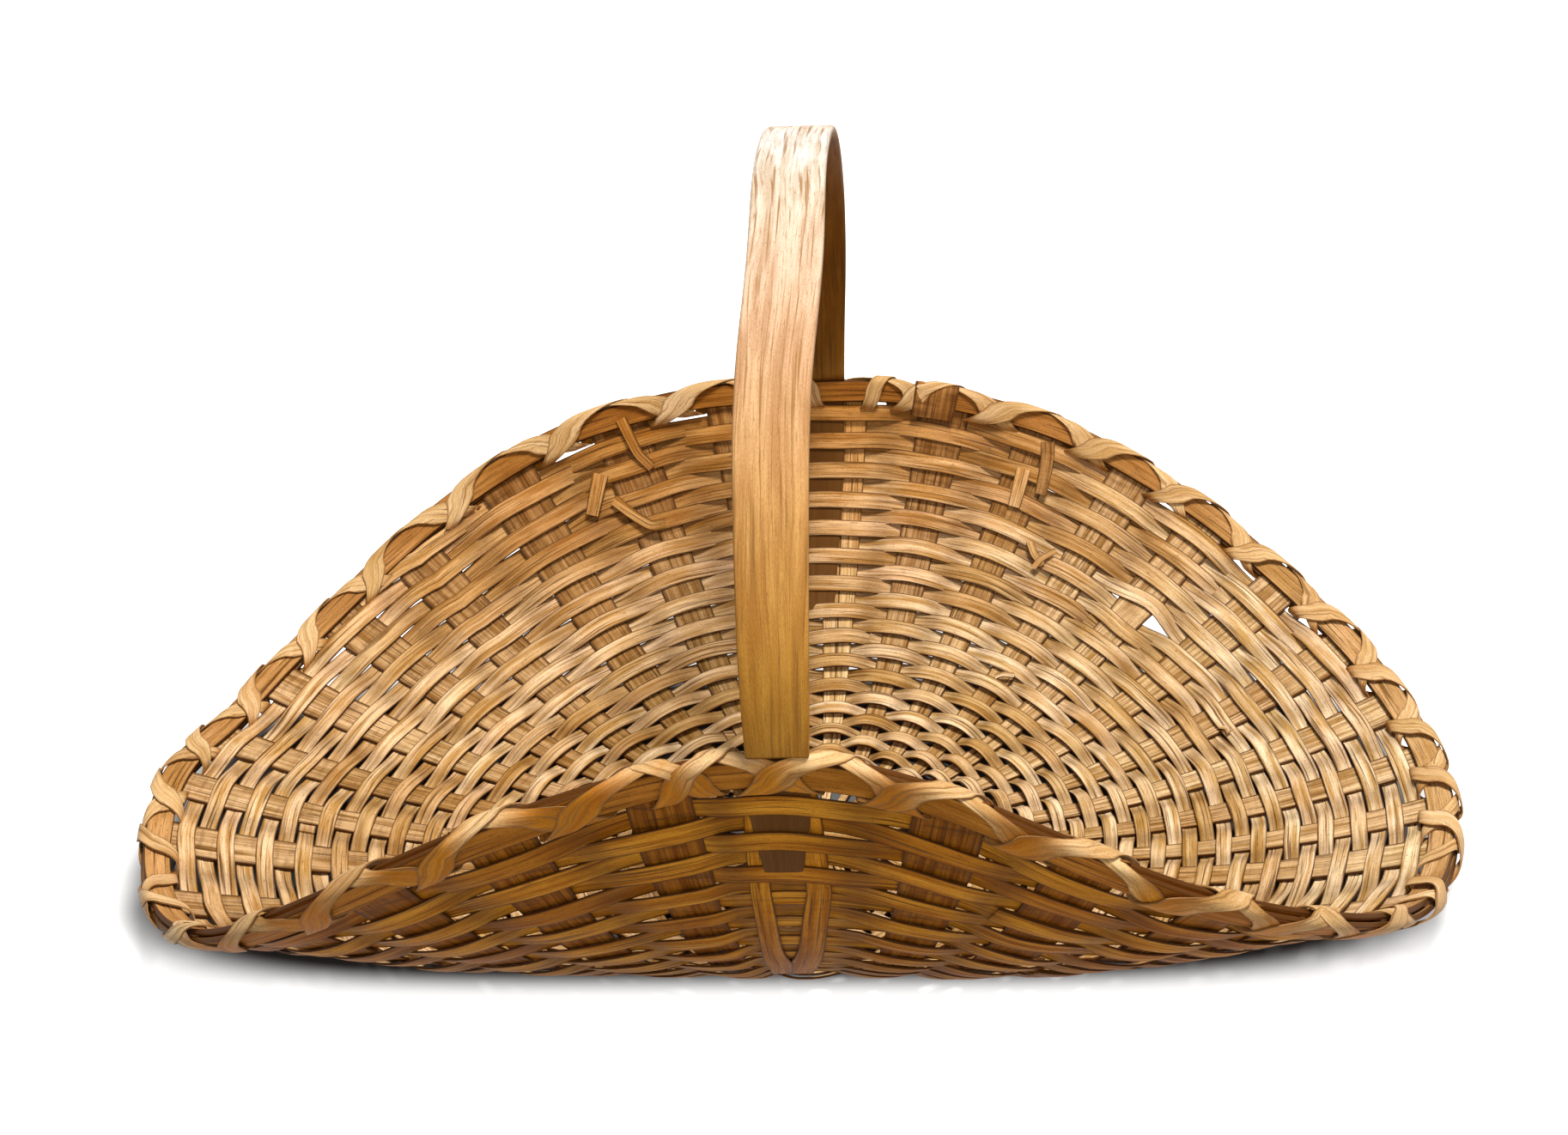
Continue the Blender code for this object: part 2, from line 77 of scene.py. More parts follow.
# Directions of the spokes in degrees, from the near side round by the right end. They step
# evenly, but each has drifted a little from its place while the basket was woven.
QUARTER = 8
DRIFT = [0.0, 0.4, -0.5, 0.5, -0.4, 0.6, -0.3, 1.6, 1.1, 2.2, 1.5, 1.8, 2.6, 2.6, 0.8, 0.0, -1.0,
         -1.6, -1.2, -0.3, 1.5, 3.0, 2.2, 1.5, 1.5, 0.8, -1.4, -0.6, 0.6, 1.8, 2.8, 3.2, 3.4]
near_steps = [10.6 * j for j in range(QUARTER)]
level_steps = near_steps + [82.1] + [90 + 11.25 * j for j in range(3 * QUARTER)]
ANGLES = [radians(step + drift - 90) for step, drift in zip(level_steps, DRIFT)]
SPOKES = len(ANGLES)
NEAR, ODD, FAR = 0, QUARTER, 2 * QUARTER + 1
JOIN = FAR + QUARTER // 2

# The weave is centred in the plane of the handle and on the middle splint of the floor.
handle_low, handle_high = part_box("handle_hoop")
floor_low, floor_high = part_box("splint_01")
CENTRE = np.array([(handle_low.x + handle_high.x) / 2, (floor_low.y + floor_high.y) / 2, 0])


def smoothed(values, window, **past_ends):
    """Values averaged with their neighbours. past_ends tells np.pad how they go on."""
    padded = np.pad(values, len(window) // 2, **past_ends)
    return np.convolve(padded, window / window.sum(), "valid")


# The rim has settled unevenly: its rise in millimetres against its direction in degrees.
SETTLED = [(-180, -3), (-168, -3), (-160, -3), (-150, -1), (-143, 2), (-136, 5), (-128, 9),
           (-115, 10), (-108, 7), (-100, 3), (-92, 0), (-82, -2), (-70, -3), (-62, -1), (-55, 4),
           (-48, 8), (-40, 9), (-30, 6), (-15, 3), (0, 1), (20, 5), (30, 1), (38, -4), (57, -5),
           (64, -1), (75, 0), (95, 0), (104, 5), (119, 8), (130, 3), (137, 0), (146, -5),
           (156, -8), (166, -11), (173, -8)]
SETTLED_POWER = 3
degrees_round = np.arange(-180, 180, 2)
rises = np.interp(degrees_round, *zip(*SETTLED), period=360)
rises = smoothed(rises, np.hanning(9), mode="wrap") / 1000


def settled(x, v):
    """Rise of a place on the flat sheet, which grows from the crossing out to the rim."""
    angle = np.arctan2(v, x)
    rise = np.interp(np.degrees(angle), degrees_round, rises, period=360)
    return rise * (np.hypot(x, v) / rim_radius(angle)) ** SETTLED_POWER


def bent_sheet(x, v):
    """Points of the bent sheet for points of the flat one."""
    bend = (1 - END_WIDENING * (x / LENGTH) ** 2) / WALL_RADIUS
    turn = bend * np.maximum(np.abs(v) - FLOOR_HALF_DEPTH, 0)
    y = np.sign(v) * (np.minimum(np.abs(v), FLOOR_HALF_DEPTH) + np.sin(turn) / bend)
    lift = np.maximum((np.abs(x) / LENGTH - LIFT_START) / (1 - LIFT_START), 0)
    z = FLOOR_HEIGHT + (1 - np.cos(turn)) / bend + END_LIFT * lift ** 2 + settled(x, v)
    return np.stack([x, y, z], -1) + CENTRE


def on_sheet(x, v, height):
    """Points at a height over the bent sheet."""
    small = 0.0002
    along = bent_sheet(x + small, v) - bent_sheet(x - small, v)
    across = bent_sheet(x, v + small) - bent_sheet(x, v - small)
    normal = np.cross(along, across)
    normal /= np.linalg.norm(normal, axis=-1, keepdims=True)
    return bent_sheet(x, v) + normal * height[..., None]


def rim_radius(angle):
    """Distance on the flat sheet from the crossing of the spokes to the middle of the rim."""
    c, s = np.cos(angle), np.sin(angle)
    power = OUTLINE_POWER + OUTLINE_CHANGE * s
    ends = np.abs(c / (LENGTH - LEFT_EXTRA * c)) ** power
    return (ends + np.abs(s / (DEPTH - NEAR_EXTRA * s)) ** power) ** (-1 / power)


def chance(*place):
    """A random value between -1 and 1 that changes smoothly with the place."""
    return noise.noise(Vector(place))


def wander(place, size, seed):
    """A smooth, repeatable wobble between -size and size."""
    return size * np.array([chance(p, seed * 7.31, 0.5) for p in np.ravel(place)])


def along_lengths(points):
    """Distance along a line of points from the first to each."""
    steps = np.linalg.norm(np.diff(points, axis=0), axis=1)
    return np.concatenate([[0], np.cumsum(steps)])


def grid(name, points):
    """A grid of faces on rows and columns of points, with the row and column of each vertex."""
    rows, columns = points.shape[:2]
    bpy.ops.mesh.primitive_grid_add(x_subdivisions=columns - 1, y_subdivisions=rows - 1, size=1)
    piece = bpy.context.object
    piece.name = name
    mesh = piece.data
    place = np.empty(len(mesh.vertices) * 3)
    mesh.vertices.foreach_get("co", place)
    place = place.reshape(-1, 3) + 0.5
    column = np.rint(place[:, 0] * (columns - 1)).astype(int)
    row = np.rint(place[:, 1] * (rows - 1)).astype(int)
    mesh.vertices.foreach_set("co", points[row, column].ravel())
    return piece, row, column


def map_grain(mesh, along, across):
    """The UV map is in metres of real wood, along the grain and across it."""
    corner = np.empty(len(mesh.loops), int)
    mesh.loops.foreach_get("vertex_index", corner)
    mesh.uv_layers[0].name = "grain"
    grain = np.stack([along[corner], across[corner]], -1)
    mesh.uv_layers[0].data.foreach_set("uv", grain.ravel())


def paint(mesh, tone, edge, age_and_shade, hidden_shade):
    """Red holds the tone of the wood, green its edges, which are darkened partly as painted shade,
    blue its age and painted shade, and alpha the painted shade of hidden lengths.
    """
    patina = mesh.color_attributes.new("patina", "FLOAT_COLOR", "POINT")
    patina.data.foreach_set("color", np.stack([tone, edge, age_and_shade, hidden_shade], -1).ravel())


def apply(piece, modifier):
    bpy.context.view_layer.objects.active = piece
    bpy.ops.object.modifier_apply(modifier=modifier.name)


# Faces that look towards HEART are inside the basket.
HEART = np.array([0, 0, 0.30])
FLOOR_LEVEL, WALL_TOP = 0.035, 0.20
WALL_SHADE, LEFT_END_DARKENING, DARKENING_START = 1.05, 0.35, 0.05
END_START, END_FULL, END_PAINTED_LIGHT = 0.19, 0.28, 0.8
OUTSIDE_SHADE = 1.4


def darken_with_age_and_shade(mesh):
    """The outside of the basket is darkened, partly by age and partly as painted shade. Inside,
    painted shade darkens the walls higher up, and the wood is darker towards the left end.

    The painted shade of hidden lengths is stronger outside than inside, and the two ends of the
    floor are painted paler inside as painted light.
    """
    count = len(mesh.vertices)
    place, colours = np.empty(count * 3), np.empty(count * 4)
    mesh.vertices.foreach_get("co", place)
    patina = mesh.color_attributes["patina"]
    patina.data.foreach_get("color", colours)
    place, colours = place.reshape(-1, 3), colours.reshape(-1, 4)
    # Solidify keeps one face of the strip in the first half of the vertices, the other in the second.
    half = count // 2
    inward = ((place[:half] - place[half:]) * (HEART - place[:half])).sum(1) > 0
    wall = np.clip((place[:, 2] - FLOOR_LEVEL) / (WALL_TOP - FLOOR_LEVEL), 0, 1)
    left = np.clip(0.5 - place[:, 0] / (2 * LENGTH), 0, 1)
    # Inside: painted shade up the walls, and darker towards the left end.
    inside = np.clip(WALL_SHADE * wall + LEFT_END_DARKENING * left - DARKENING_START, 0, 1)
    facing_in = np.concatenate([inward, ~inward])
    # Outside: age and painted shade in full.
    colours[:, 2] = np.where(facing_in, inside, 1)
    # The painted shade of hidden lengths is stronger outside.
    colours[:, 3] *= np.where(facing_in, 1, OUTSIDE_SHADE)
    # Painted light: the ends of the floor are paler inside.
    ends = np.clip((np.abs(place[:, 0]) - END_START) / (END_FULL - END_START), 0, 1)
    colours[:, 0] -= END_PAINTED_LIGHT * ends * (1 - colours[:, 2])
    patina.data.foreach_set("color", colours.ravel())


def close(piece, angle):
    """Turns the faces of a finished shell outwards and smooths all but its corners."""
    bpy.ops.object.mode_set(mode="EDIT")
    bpy.ops.mesh.select_all(action="SELECT")
    bpy.ops.mesh.normals_make_consistent(inside=False)
    bpy.ops.object.mode_set(mode="OBJECT")
    bpy.ops.object.shade_smooth_by_angle(angle=radians(angle))
    piece.select_set(False)


def strip(name, points, thickness, tone, start=0.0, dive_shade=None, old_and_shaded=None):
    """A grid laid along its route and given its thickness.

    points is rows by columns. tone and the dive shade are one value a row: how dark the wood is,
    and the painted shade where it runs behind its neighbours. start is where the piece begins on
    the endless grain, so that no two look alike. The last argument gives its age and painted
    shade, where these don't follow from its place.
    """
    piece, row, column = grid(name, points)
    rows, columns = points.shape[:2]
    lengths = along_lengths(points[:, columns // 2]) + start
    widths = np.linalg.norm(points[:, 0] - points[:, -1], axis=1)
    share = column / (columns - 1) - 0.5
    map_grain(piece.data, lengths[row], share * widths[row])
    hidden_shade = np.zeros(rows) if dive_shade is None else dive_shade
    age_and_shade = np.zeros(rows) if old_and_shaded is None else old_and_shaded
    paint(piece.data, tone[row], np.abs(share) * 2, age_and_shade[row], hidden_shade[row])
    solid = piece.modifiers.new("thickness", "SOLIDIFY")
    solid.thickness = thickness
    solid.offset = 0
    apply(piece, solid)
    if old_and_shaded is None:
        darken_with_age_and_shade(piece.data)
    close(piece, angle=50)
    return piece


def wire(tree, value, socket):
    """Links an output to a socket, or sets the socket to a plain value."""
    if isinstance(value, bpy.types.NodeSocket):
        tree.links.new(value, socket)
    else:
        socket.default_value = value


def maths(tree, operation, one, two):
    made = tree.nodes.new("ShaderNodeMath")
    made.operation = operation
    wire(tree, one, made.inputs[0])
    wire(tree, two, made.inputs[1])
    return made.outputs[0]


def spread(tree, value, low, high, least=0.0, most=1.0, kind="LINEAR"):
    """least where the value is low, and most where it is high."""
    made = tree.nodes.new("ShaderNodeMapRange")
    made.interpolation_type = kind
    for socket, number in zip(made.inputs[:5], (value, low, high, least, most)):
        wire(tree, number, socket)
    return made.outputs[0]


def blend(tree, factor, one, two, kind="MIX"):
    made = tree.nodes.new("ShaderNodeMix")
    made.data_type = "RGBA"
    made.blend_type = kind
    for place, value in ((0, factor), (6, one), (7, two)):
        wire(tree, value, made.inputs[place])
    return made.outputs[2]


# The dark of the grain lines, and of the painted shade over hidden lengths.
GRAIN_AND_SHADE_DARK = (0.075, 0.025, 0.004, 1)
# These multiply the colour: a ruddy cast, the brown of a dark strip, and dust in the grain.
RUDDY, BROWN, DUST = (1.0, 0.91, 0.98, 1), (0.62, 0.50, 0.28, 1), (0.60, 0.50, 0.34, 1)
GLOSS, GLOSS_CHANGE = 0.07, 0.08
RELIEF_STRENGTH, RELIEF_DEPTH = 0.6, 0.0005


def oak(name, pale, deep, dark, old_and_shaded, roughness=0.55, fibre=1.0, ribs=0.0, wave=0.0006):
    """Split oak: pale and deep bands, dark streaks, pores and rays, all drawn out along the grain.

    A fourth colour multiplies the colour where the wood has aged and where shade is painted.
    Edges are darkened partly as painted shade, and hidden lengths are darkened with painted shade.
    ribs are the cross ridges that the weaver pressed into a spoke. wave is how far the grain
    sways sideways.
    """
    material = bpy.data.materials.new(name)
    material.use_nodes = True
    tree = material.node_tree
    shader = tree.nodes["Principled BSDF"]
    wire(tree, GLOSS, shader.inputs["Specular IOR Level"])

    def grain_noise(along, across, detail, rough=0.55):
        """Noise with so many features a metre along and across the grain."""
        scaled = tree.nodes.new("ShaderNodeMapping")
        wire(tree, (along, across, 1), scaled.inputs["Scale"])
        wire(tree, grain_map, scaled.inputs["Vector"])
        made = tree.nodes.new("ShaderNodeTexNoise")
        wire(tree, 1, made.inputs["Scale"])
        wire(tree, detail, made.inputs["Detail"])
        wire(tree, rough, made.inputs["Roughness"])
        wire(tree, scaled.outputs[0], made.inputs["Vector"])
        return made.outputs["Fac"]

    uv_map = tree.nodes.new("ShaderNodeUVMap")
    uv_map.uv_map = "grain"
    grain_map = uv_map.outputs[0]
    sway = maths(tree, "SUBTRACT", grain_noise(11, 45, 1), 0.5)
    sway = maths(tree, "MULTIPLY", sway, wave * 6)
    sideways = tree.nodes.new("ShaderNodeCombineXYZ")
    wire(tree, sway, sideways.inputs[1])
    swayed = tree.nodes.new("ShaderNodeVectorMath")
    wire(tree, grain_map, swayed.inputs[0])
    wire(tree, sideways.outputs[0], swayed.inputs[1])
    grain_map = swayed.outputs[0]
    attribute = tree.nodes.new("ShaderNodeAttribute")
    attribute.attribute_name = "patina"
    parts = tree.nodes.new("ShaderNodeSeparateColor")
    wire(tree, attribute.outputs["Color"], parts.inputs[0])
    tone, edge, age_and_shade = parts.outputs[:3]
    hidden_shade = attribute.outputs["Alpha"]

    bands = grain_noise(13, 380 * fibre, 3)
    clouds = grain_noise(34, 110, 2)
    streaks = grain_noise(17, 900 * fibre, 2)
    pores = grain_noise(85, 1700 * fibre, 3, 0.7)
    rays = grain_noise(300, 900, 2)
    hue = grain_noise(7, 3, 1)
    grit = grain_noise(700, 2400, 2, 0.8)
    body = maths(tree, "MULTIPLY", bands, 0.65)
    body = maths(tree, "ADD", body, maths(tree, "MULTIPLY", clouds, 0.35))
    colour = blend(tree, spread(tree, body, 0.41, 0.59), deep, pale)
    colour = blend(tree, spread(tree, hue, 0.35, 0.65, 0.0, 0.7), colour, RUDDY, "MULTIPLY")
    colour = blend(tree, spread(tree, tone, 0.0, 1.0, 0.0, 0.9), colour, BROWN, "MULTIPLY")
    colour = blend(tree, spread(tree, grit, 0.40, 0.62, 0.0, 0.45), colour, DUST, "MULTIPLY")
    # Age and painted shade darken the colour.
    colour = blend(tree, age_and_shade, colour, old_and_shaded, "MULTIPLY")
    # Dark lines: the noise where each starts, where it is full, and how strong it gets. The last
    # darkens the edges of a strip, partly as dark edges and partly as painted contact shade.
    for line, low, high, strength in ((streaks, 0.54, 0.67, 0.85), (pores, 0.45, 0.31, 0.65),
                                      (rays, 0.37, 0.24, 0.6), (edge, 0.83, 0.97, 0.95)):
        colour = blend(tree, spread(tree, line, low, high, 0.0, strength), colour, dark)
    # Painted shade darkens the hidden lengths.
    colour = blend(tree, hidden_shade, colour, GRAIN_AND_SHADE_DARK)
    relief = maths(tree, "ADD", bands, maths(tree, "MULTIPLY", pores, 0.7))
    if ribs:
        ridges = grain_noise(330, 45, 2)
        pressed = spread(tree, ridges, 0.50, 0.36, 0.0, 0.5 * ribs)
        pressed = maths(tree, "MULTIPLY", pressed, maths(tree, "ADD", age_and_shade, 0.3))
        colour = blend(tree, pressed, colour, dark)
        relief = maths(tree, "ADD", relief, maths(tree, "MULTIPLY", ridges, 1.4 * ribs))
    wire(tree, colour, shader.inputs["Base Color"])
    dull = spread(tree, bands, 0.3, 0.7, roughness + GLOSS_CHANGE, roughness - GLOSS_CHANGE)
    wire(tree, dull, shader.inputs["Roughness"])
    bump = tree.nodes.new("ShaderNodeBump")
    wire(tree, RELIEF_STRENGTH, bump.inputs["Strength"])
    wire(tree, RELIEF_DEPTH, bump.inputs["Distance"])
    wire(tree, relief, bump.inputs["Height"])
    wire(tree, bump.outputs[0], shader.inputs["Normal"])
    return material


def dress(piece, material, slot, *nodes):
    """Gives a finished piece its oak and body, and the solids that it stands for. slot is not used."""
    piece.data.materials.clear()
    piece.data.materials.append(material)
    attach(piece, "root")
    if nodes:
        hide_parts(*nodes)


# These multiply the colour for age and for painted shade: outside, and up the walls inside.
AGE_AND_SHADE_COLOUR, SPOKE_AGE_AND_SHADE_COLOUR = (0.80, 0.46, 0.06, 1), (0.52, 0.28, 0.04, 1)
spoke_oak = oak("spoke_oak", (0.88, 0.64, 0.36, 1), (0.42, 0.235, 0.07, 1), GRAIN_AND_SHADE_DARK,
                SPOKE_AGE_AND_SHADE_COLOUR, ribs=1.0)
fork_oak = oak("fork_oak", (1.0, 0.76, 0.44, 1), (0.62, 0.39, 0.15, 1), GRAIN_AND_SHADE_DARK, AGE_AND_SHADE_COLOUR, ribs=0.3)


def spoke_gap(index):
    """Angle from one neighbour of a spoke to the other, halved."""
    after = ANGLES[(index + 1) % SPOKES] + (tau if index == SPOKES - 1 else 0)
    before = ANGLES[index - 1] - (tau if index == 0 else 0)
    return (after - before) / 2


def spoke_half(index, r):
    """Half the width of a spoke; the near one grows towards its fork."""
    full = SPOKE_SHARE * spoke_gap(index) * r
    if index == NEAR:
        full = np.minimum(full, FORK_BASE)
    return np.maximum(full, WAIST_WIDTH) / 2


def spoke_reach(index):
    """Distance of the end of a spoke from the crossing."""
    return float(rim_radius(ANGLES[index])) + RIM_HEIGHT / 2 - SPOKE_END_GAP


def spoke_tone(r, seed):
    return np.clip(SPOKE_TONE + wander(r * TONES_A_METRE, SPOKE_TONE_CHANGE, seed), 0, 1)


def splint_route(one, other, layer):
    """Distances, flat route, half-width and height of a splint from rim to rim.

    Distances are below 0 on the side of the other spoke. layer is the place in the pile where
    the splints cross.
    """
    r = np.linspace(-spoke_reach(other), spoke_reach(one), SPLINT_STATIONS)
    mix = np.clip(r / PILE_RADIUS, -1, 1) / 2 + 0.5
    ends = [np.array([cos(ANGLES[i]), sin(ANGLES[i])]) for i in (other, one)]
    far = np.maximum(np.abs(r), PILE_RADIUS)
    flat = far[:, None] * ((1 - mix)[:, None] * ends[0] + mix[:, None] * ends[1])
    half = np.where(r < 0, spoke_half(other, np.abs(r)), spoke_half(one, np.abs(r)))
    fade = np.clip((PILE_END - np.abs(r)) / (PILE_END - PILE_RADIUS), 0, 1)
    fade = fade * fade * (3 - 2 * fade)
    height = fade * (PILE_HEIGHT + (layer - QUARTER + 0.5) * PILE_PITCH)
    return r, flat, half, height


def cross_lines(flat):
    """Unit vectors square to a flat route."""
    along = np.gradient(flat, axis=0)
    along /= np.linalg.norm(along, axis=1, keepdims=True)
    return np.stack([-along[:, 1], along[:, 0]], -1)


def lay(flat, shifts, height):
    """Rows and columns of points: a flat route, its sideways shifts, and its height."""
    square = cross_lines(flat)
    spots = flat[:, None, :] + square[:, None, :] * shifts[:, :, None]
    heights = np.broadcast_to(np.reshape(height, (len(flat), -1)), shifts.shape)
    return on_sheet(spots[..., 0], spots[..., 1], heights)


def along_fork(r, way):
    return np.interp(r, *zip(*way))


# Places across a strip, from one edge to the other.
ACROSS = np.linspace(-1, 1, 5)
splint_number = 0
for layer in range(2 * QUARTER):
    one, other = FAR + layer - QUARTER, (layer - QUARTER) % SPOKES
    r, flat, half, height = splint_route(one, other, layer)
    tone = spoke_tone(r, layer + 40)
    if other != NEAR:
        splint_number += 1
        name = "splint_%02d" % splint_number
        ripple = 1 + wander(r * RIPPLES_A_METRE, RIPPLE, layer + 3)
        points = lay(flat, half[:, None] * ripple[:, None] * ACROSS, height)
        piece = strip(name + "_oak", points, SPLINT_THICKNESS, tone, start=layer * 1.7)
        dress(piece, spoke_oak, "spoke_oak", name)
        continue
    near = -r
    share = np.linspace(0, 1, PRONG_COLUMNS)
    halves = []
    for hand in (-1, 1):
        forked = near > PRONG_INNER[0][0]
        inner = np.where(forked, along_fork(near, PRONG_INNER) + hand * PRONG_UNLIKE, 0)
        outer = np.where(near > FORK_START, along_fork(near, PRONG_OUTER), half)
        shifts = hand * (inner[:, None] * (1 - share) + outer[:, None] * share)
        shifts = shifts - along_fork(near, FORK_LEAN)[:, None]
        points = lay(flat, shifts, height)
        halves.append(strip("prong", points, SPLINT_THICKNESS, tone, start=30 + hand))
    for item in halves:
        item.select_set(True)
    bpy.context.view_layer.objects.active = halves[0]
    bpy.ops.object.join()
    piece = bpy.context.object
    piece.name = "forked_splint_oak"
    piece.select_set(False)
    dress(piece, fork_oak, "spoke_oak", "forked_splint")

ODD_START, ODD_TIP = 0.043, 0.0013
r = np.linspace(ODD_START, spoke_reach(ODD), ODD_STATIONS)
flat = r[:, None] * np.array([cos(ANGLES[ODD]), sin(ANGLES[ODD])])
half = np.maximum(SPOKE_SHARE * spoke_gap(ODD) * r / 2, ODD_TIP)
points = lay(flat, half[:, None] * ACROSS, np.zeros(len(r)))
piece = strip("odd_splint_oak", points, SPLINT_THICKNESS, spoke_tone(r, 77), start=9)
dress(piece, spoke_oak, "spoke_oak", "odd_splint")


# Weaver
# One thin, narrow splint winds from the centre to the rim, over one spoke and under the
# next. It is pieced from lengths whose ends are hidden behind a spoke.
WEAVE_FIRST, WEAVE_LAST = 0.177, 0.966
CIRCUITS = 30
CIRCUIT_STEP = (WEAVE_LAST - WEAVE_FIRST) / CIRCUITS
FILL_START, FILL_FALL, FILL_GROWTH = 0.012, 3, 4
WEAVER_THICKNESS = 0.0008
WEAVER_WIDTH, WIDTH_CHANGE = 0.0093, 0.14
CENTRE_SLIM, SLIM_SIZE, SLIM_POWER = 0.14, 0.17, 0.6
# The share of a row's pitch that the weaver covers, and what it covers less: halfway between
# two spokes, on the level floor, and on the near wall.
COVER, COVER_DIP, FLOOR_OPEN, NEAR_OPEN = 1.17, 0.05, 0.21, 0.07
LEVEL_HALF, LEVEL_FADE = 0.06, 0.09
# Gaps left between pieces that lie on each other, so that none cuts into its neighbour.
GAP, FINE_GAP = 0.0002, 0.0001
SEAT, FLAT_SHARE = 0.00095, 0.05
BOW, BOW_CHANGE = 0.0009, 1.3
CENTRE_BOW, CENTRE_SIZE = 0.0030, 0.19
TAIL_STACK = 0.00105
NEAR_TAIL, FAR_TAIL = 0.052, 0.125
TAIL_HALF = 0.0118
STEPS_PER_SPOKE = 9
BUNCHING, BUNCHING_POWER, FORK_LIFT = -0.0022, 0.7, 0.0004
LAP, LAP_END, LAP_EASE = 4, 0.9, 0.4
CROWN, TILT_CHANGE = 0.0003, 0.10
WEAVER_TONE, WEAVER_TONE_CHANGE = 0.46, 1.2
WORN, WORN_HALF, WORN_FROM = 0.6, 0.08, 0.2
# How much painted shade darkens the weaver where it dives between spokes, and the sunk rows behind the
# fork.
DIVE_SHADE, DIVE_SHADE_POWER, FORK_SHADE = 0.40, 3, 0.45
ROW_SWAY, SWAYS_A_METRE = 0.0014, 30

# Places where a broken or pushed splint has opened a hole: direction, distance, and depth.
HOLES = [(-65.5, 0.250, 0.0040), (45.7, 0.2445, 0.0048)]
HOLE_ALONG, HOLE_ACROSS, HOLE_EDGE = 0.016, 0.014, 0.002

# Places where the last rows have slipped down from the rim: direction and depth.
SLOTS = [(119, 0.0034), (102, 0.0030), (38, 0.0030), (-112, 0.0026), (-66, 0.0026)]
SLOT_TURN, SLOT_SHARE = 0.16, 0.02

# Lengths end where the weaver passes outside a spoke, so that their ends are hidden inside.
WEAVER_LENGTHS = 13
last_crossing = CIRCUITS * SPOKES
length_ends = [round(n * last_crossing / WEAVER_LENGTHS) | 1 for n in range(1, WEAVER_LENGTHS)]
length_ends = [0] + length_ends + [last_crossing + 1]

weaver_oak = oak("weaver_oak", (1.0, 0.79, 0.52, 1), (0.56, 0.34, 0.11, 1), GRAIN_AND_SHADE_DARK, AGE_AND_SHADE_COLOUR)


def crossing_angle(count):
    """Direction of a crossing, which grows by a full turn each time round."""
    turns, place = divmod(JOIN + count, SPOKES)
    return ANGLES[place] + turns * tau


def row_share(count):
    """Share of the way to the rim. The outer rows bend out to fill the step of the spiral."""
    circuit = count / SPOKES
    part = circuit % 1
    fill = (1 - part) ** FILL_FALL * (1 - exp(-part / FILL_START)) * (circuit / CIRCUITS) ** FILL_GROWTH
    return WEAVE_FIRST + CIRCUIT_STEP * (circuit + fill)


def behind_fork(count):
    """Whether a crossing lies between the prongs of the near spoke."""
    if (JOIN + count) % SPOKES != NEAR:
        return False
    return FORK_START < float(rim_radius(ANGLES[NEAR])) * row_share(count) < FORK_OPEN


def crossing(count):
    """Height of the weaver over one spoke, and half the length that it runs flat there."""
    index = (JOIN + count) % SPOKES
    angle = ANGLES[index]
    rim = float(rim_radius(angle))
    r = rim * row_share(count)
    outward = count % 2 == 1 and not behind_fork(count)
    flat_half = FLAT_SHARE * spoke_gap(index) * r
    bow = 0 if count in length_ends else BOW * (1 + BOW_CHANGE * chance(count * 3.7, 2.2, 0))
    if outward:
        level = bent_sheet(np.array(r * cos(angle)), np.array(r * sin(angle)))[2]
        bow = min(bow, level - SEAT - WEAVER_THICKNESS / 2 - GAP)
    else:
        bow += CENTRE_BOW * max(1 - (r / CENTRE_SIZE) ** 2, 0)
    seat = SEAT + max(bow, 0)
    if index == NEAR and r > FORK_START:
        flat_half = float(along_fork(r, PRONG_OUTER))
        seat = SEAT + (TAIL_STACK if outward and r > rim - NEAR_TAIL else 0)
        if behind_fork(count) and count % 2 == 0:
            seat += FORK_LIFT
    if index == FAR and r > rim - FAR_TAIL:
        flat_half = TAIL_HALF
        seat = SEAT + (0 if outward else TAIL_STACK)
    return (-seat if outward else seat), flat_half


def turn_from(direction, angle):
    """The signed turn from a direction to an angle, the shorter way round."""
    return (angle - direction + pi) % tau - pi


def pushed(angle, r):
    """How far a row is pushed aside: it sways, goes round holes, and slips from the rim."""
    shift = ROW_SWAY * chance(cos(angle) * r * SWAYS_A_METRE, sin(angle) * r * SWAYS_A_METRE, 4.0)
    for direction, distance, depth in HOLES:
        turn = turn_from(radians(direction), angle)
        away = exp(-(turn * distance / HOLE_ALONG) ** 2 - ((r - distance) / HOLE_ACROSS) ** 2)
        shift += depth * tanh((r - distance) / HOLE_EDGE) * away
    for direction, depth in SLOTS:
        turn = turn_from(radians(direction), angle)
        share = r / float(rim_radius(angle))
        shift -= depth * exp(-(turn / SLOT_TURN) ** 2 - ((share - WEAVE_LAST) / SLOT_SHARE) ** 2)
    return shift


def sunk(place):
    """Behind the fork every other row lies deeper, shifted and with painted shade: 1 there, and 0 half a
    spoke away.
    """
    beside = round(place)
    if behind_fork(beside) and beside % 2 == 0:
        return 1 - 2 * abs(place - beside)
    return 0


def weaver_width(place, angle, r, between):
    grow = 1 + WIDTH_CHANGE * chance(place * 0.31, 8.8, 0)
    slim = 1 - CENTRE_SLIM * max(1 - r / SLIM_SIZE, 0) ** SLIM_POWER
    level = min(max(1 - (abs(r * sin(angle)) - LEVEL_HALF) / LEVEL_FADE, 0), 1)
    near_wall = 1 - level if sin(angle) < 0 else 0
    cover = COVER - COVER_DIP * between - FLOOR_OPEN * level - NEAR_OPEN * near_wall
    pitch = CIRCUIT_STEP * float(rim_radius(angle))
    return min(WEAVER_WIDTH * grow, pitch * cover) * slim


def weaver_tone(place, angle, r):
    """The tone changes along the strip, and the near wall is worn pale below the handle."""
    worn = WORN * exp(-(r * cos(angle) / WORN_HALF) ** 2) if r * sin(angle) < -WORN_FROM else 0
    return WEAVER_TONE - worn + WEAVER_TONE_CHANGE * chance(place * 0.42, 1.5, 0)


